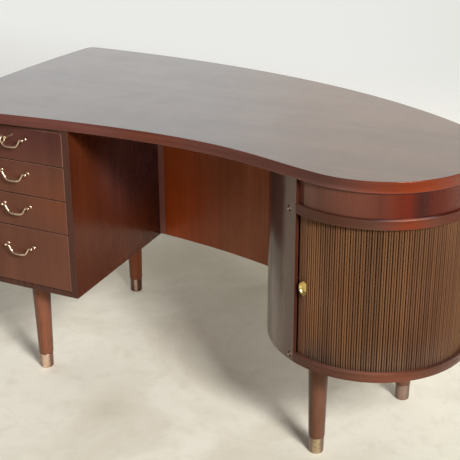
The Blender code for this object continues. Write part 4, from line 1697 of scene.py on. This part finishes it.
@dataclass
class Studio:
    """The pale floor and wall, the soft lamps and the camera."""

    wall_back: float = 1.75
    cove: float = 0.45
    cove_facets: int = 16
    reach: float = 9.0
    wall_height: float = 4.5
    wall_lift: float = 0.001
    floor_colours: tuple[Colour, Colour] = ((0.73, 0.69, 0.59), (0.87, 0.845, 0.755))
    floor_roughness: float = 0.75
    cloud_scale: float = 2.2
    cloud_shift: Point = (4.1, 0.3, 0.0)
    cloud_edge: Spot = (0.34, 0.66)
    grit: Colour = (0.60, 0.55, 0.45)
    grit_scale: float = 18.0
    grit_edge: Spot = (0.47, 0.70)
    grit_share: float = 0.30
    wall_colours: tuple[Colour, Colour] = ((0.80, 0.80, 0.775), (0.86, 0.86, 0.845))
    wall_seen: tuple[Colour, Colour] = ((0.835, 0.835, 0.812), (0.745, 0.745, 0.692))
    wall_mirrored: tuple[Colour, Colour] = ((0.98, 0.99, 0.985), (0.985, 0.90, 0.82))
    wall_roughness: float = 0.9
    shade_scale: float = 0.5
    shade_share: float = 0.2
    seen_from: float = 0.03
    seen_stretch: Spot = (-0.5, 1.1)
    mirrored_stretch: Spot = (-1.0, -0.25)
    room_lit: tuple[Colour, float] = ((1.0, 0.975, 0.93), 0.03)
    room_mirrored: tuple[Colour, float] = ((1.0, 0.98, 0.95), 0.15)
    room_seen: tuple[Colour, float] = ((0.82, 0.82, 0.80), 1.0)
    camera_place: Vector = Vector((1.0553, -2.2586, 1.5132))
    yaw: float = 0.4256
    pitch: float = 0.3857
    roll: float = 0.0018
    lens: float = 82.44
    sensor: float = 36.0
    shift: Spot = (-0.01891, -0.07813)
    clip: Spot = (0.1, 60.0)
    lamp_aim: Vector = Vector((0.05, 0.0, 0.3))
    lamps: tuple[Lamp, ...] = (
        Lamp("key_lamp", 50.0, 35.0, 6.0, 1.2, 310.0, (1.0, 0.975, 0.93)),
        Lamp("side_lamp", 58.0, 28.0, 6.0, 1.2, 160.0, (1.0, 0.97, 0.92)),
        Lamp("left_lamp", 275.0, 35.0, 5.0, 3.0, 44.0, (1.0, 0.99, 0.97)),
    )
    # These patches paint shade on the floor: under and behind the desk, and falling off towards the right
    # and the lamps.
    floor_painted_shade: tuple[Patch, ...] = (
        Patch((0.80, -0.20, 0.0), (0.75, 0.95, 1.0), (0.81, 0.82, 0.80)),
        Patch((3.45, -2.90, 0.0), (4.25, 4.25, 1.0), (0.18, 0.18, 0.19)),
        Patch((-0.20, 0.55, 0.0), (0.65, 0.55, 1.0), (0.72, 0.69, 0.64)),
        Patch((-0.19, -0.30, 0.0), (0.10, 0.14, 1.0), (0.88, 0.86, 0.83)),
        Patch((-0.20, 0.10, 0.0), (0.22, 0.16, 1.0), (0.93, 0.91, 0.90)),
    )

    def build(self) -> None:
        """Makes the camera, the floor, the wall, the world and the lamps."""
        self.build_camera()
        self.build_floor()
        self.build_wall()
        self.build_world()
        for lamp in self.lamps:
            lamp.hang(self.lamp_aim)

    def stage(self, name: str, work: Work, material: bpy.types.Material) -> None:
        """Puts a backdrop piece into the scene.

        Args:
            name: Its name.
            work: Its mesh, which is used up.
            material: Its material.
        """
        mesh = mesh_of(name, work)
        mesh.shade_smooth()
        mesh.materials.append(material)
        put(name, mesh)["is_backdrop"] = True

    def build_floor(self) -> None:
        """Makes the pale floor, with shade painted under the desk and towards the lamps."""
        work = bmesh.new()
        bmesh.ops.create_grid(work, x_segments=1, y_segments=1, size=self.reach)
        bench = Bench("pale_screed")
        clouded = bench.place((self.cloud_scale, self.cloud_scale, 1.0), self.cloud_shift)
        broad = bench.noise(clouded, detail=6.0, rough=0.62, twist=0.8)
        gritty = bench.place((self.grit_scale, self.grit_scale, 1.0))
        fine = bench.noise(gritty, detail=8.0, rough=0.76, twist=0.6)
        colour = bench.blend(bench.span(broad, *self.cloud_edge), *self.floor_colours)
        colour = bench.blend(bench.span(fine, *self.grit_edge, high=self.grit_share), colour, self.grit)
        colour = bench.paint_tone_and_light(colour, self.floor_painted_shade)
        bench.coat({"Base Color": colour, "Roughness": self.floor_roughness})
        bench.raise_surface(fine, strength=0.15, distance=0.002)
        self.stage("studio_floor", work, bench.material)

    def build_wall(self) -> None:
        """Makes the pale wall behind the desk, which can't be seen from its back."""
        work = bmesh.new()
        front = self.wall_back - self.cove
        edge = [work.verts.new((side * self.reach, front, self.wall_lift)) for side in (-1, 1)]
        strip = work.edges.new(edge)
        bmesh.ops.spin(work, geom=[*edge, strip], axis=(1.0, 0.0, 0.0), angle=math.pi / 2,
                       steps=self.cove_facets, cent=(0.0, front, self.cove))
        level = self.cove - self.wall_lift
        high = [one for one in work.edges if all(vert.co.z > level for vert in one.verts)]
        grown = bmesh.ops.extrude_edge_only(work, edges=high)["geom"]
        lifted = [part for part in grown if isinstance(part, bmesh.types.BMVert)]
        bmesh.ops.translate(work, verts=lifted, vec=(0.0, 0.0, self.wall_height))
        outward(work)
        if sum(face.normal.y for face in work.faces) > 0:
            bmesh.ops.reverse_faces(work, faces=work.faces[:])
        self.stage("studio_wall", work, self.wall_finish())

    def wall_finish(self) -> bpy.types.Material:
        """Builds the wall's finish, which looks even to the camera and in mirrors.

        Returns:
            The material.
        """
        bench = Bench("pale_wall")
        shade = bench.noise(bench.place((self.shade_scale,) * 3), detail=2.0)
        bench.coat({"Base Color": bench.blend(shade, *self.wall_colours), "Roughness": self.wall_roughness})
        path = bench.add("ShaderNodeLightPath")
        spot = bench.add("ShaderNodeSeparateXYZ", {0: bench.place(EVEN)})
        across = bench.span(spot.outputs["X"], *self.seen_stretch, high=1.0 - self.shade_share / 2)
        across = bench.sum(across, bench.sum(shade, self.shade_share, "MULTIPLY"))
        plain = bench.add("ShaderNodeEmission", {"Color": bench.blend(across, *self.wall_seen)})
        rise = bench.span(spot.outputs["Z"], self.seen_from, self.cove)
        seen = bench.choose(bench.sum(path.outputs["Is Camera Ray"], rise, "MULTIPLY"),
                            bench.shader.outputs["BSDF"], plain.outputs["Emission"])
        dusk = bench.span(spot.outputs["X"], *self.mirrored_stretch)
        glow = bench.add("ShaderNodeEmission", {"Color": bench.blend(dusk, *self.wall_mirrored)})
        shown = bench.choose(path.outputs["Is Glossy Ray"], seen, glow.outputs["Emission"])
        clear = bench.add("ShaderNodeBsdfTransparent").outputs["BSDF"]
        shown = bench.choose(bench.add("ShaderNodeNewGeometry").outputs["Backfacing"], shown, clear)
        bench.fill(bench.tree.nodes["Material Output"], {"Surface": shown})
        return bench.material

    def build_world(self) -> None:
        """Makes the even pale light from all round."""
        world = bpy.data.worlds.new("soft_room")
        bpy.context.scene.world = world
        world.use_nodes = True
        world.node_tree.nodes.clear()
        room = Tree(world.node_tree)
        path = room.add("ShaderNodeLightPath")
        shades = [room.add("ShaderNodeBackground", {"Color": colour, "Strength": strength}).outputs[0]
                  for colour, strength in (self.room_lit, self.room_mirrored, self.room_seen)]
        shown = room.choose(path.outputs["Is Glossy Ray"], shades[0], shades[1])
        shown = room.choose(path.outputs["Is Camera Ray"], shown, shades[2])
        room.add("ShaderNodeOutputWorld", {"Surface": shown})

    def build_camera(self) -> None:
        """Sets up the camera at the photograph's viewing angle."""
        sy, cy = math.sin(self.yaw), math.cos(self.yaw)
        sp, cp = math.sin(self.pitch), math.cos(self.pitch)
        sr, cr = math.sin(self.roll), math.cos(self.roll)
        ahead = Vector((-sy * cp, cy * cp, -sp))
        across = Vector((cy, sy, 0.0))
        under = ahead.cross(across)
        side = cr * across + sr * under
        down = cr * under - sr * across
        data = bpy.data.cameras.new("desk_camera")
        data.lens, data.sensor_width = self.lens, self.sensor
        data.shift_x, data.shift_y = self.shift
        data.clip_start, data.clip_end = self.clip
        camera = put("desk_camera", data)
        turn = Matrix((side, -down, -ahead)).transposed().to_4x4()
        camera.matrix_world = Matrix.Translation(self.camera_place) @ turn
        bpy.context.scene.camera = camera


def corners() -> list[list[float]]:
    """Returns the shown object's lowest and highest corner as plain numbers."""
    return [[float(part) for part in corner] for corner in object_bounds()]


def main() -> None:
    """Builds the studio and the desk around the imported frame."""
    logging.basicConfig(level=logging.INFO, format="%(message)s")
    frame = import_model()
    bpy.context.scene.view_settings.view_transform = "Standard"
    Studio().build()
    side_low, side_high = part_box("pedestal_side_right")
    plan = Plan(side_high.x, side_low.y)
    shop = Shop(Palette(), frame["nodes"])
    KidneyTop(shop, plan).build()
    Pedestal(shop).build()
    for number in (1, 2, 3, 4):
        Drawer(shop, number).build()
    LockAndKey(shop).build()
    ModestyPanel(shop).build()
    RoundCabinet(shop, plan).build()
    Tambour(shop, plan).build()
    TurnedLegs(shop).build()


if __name__ == "__main__":
    main()
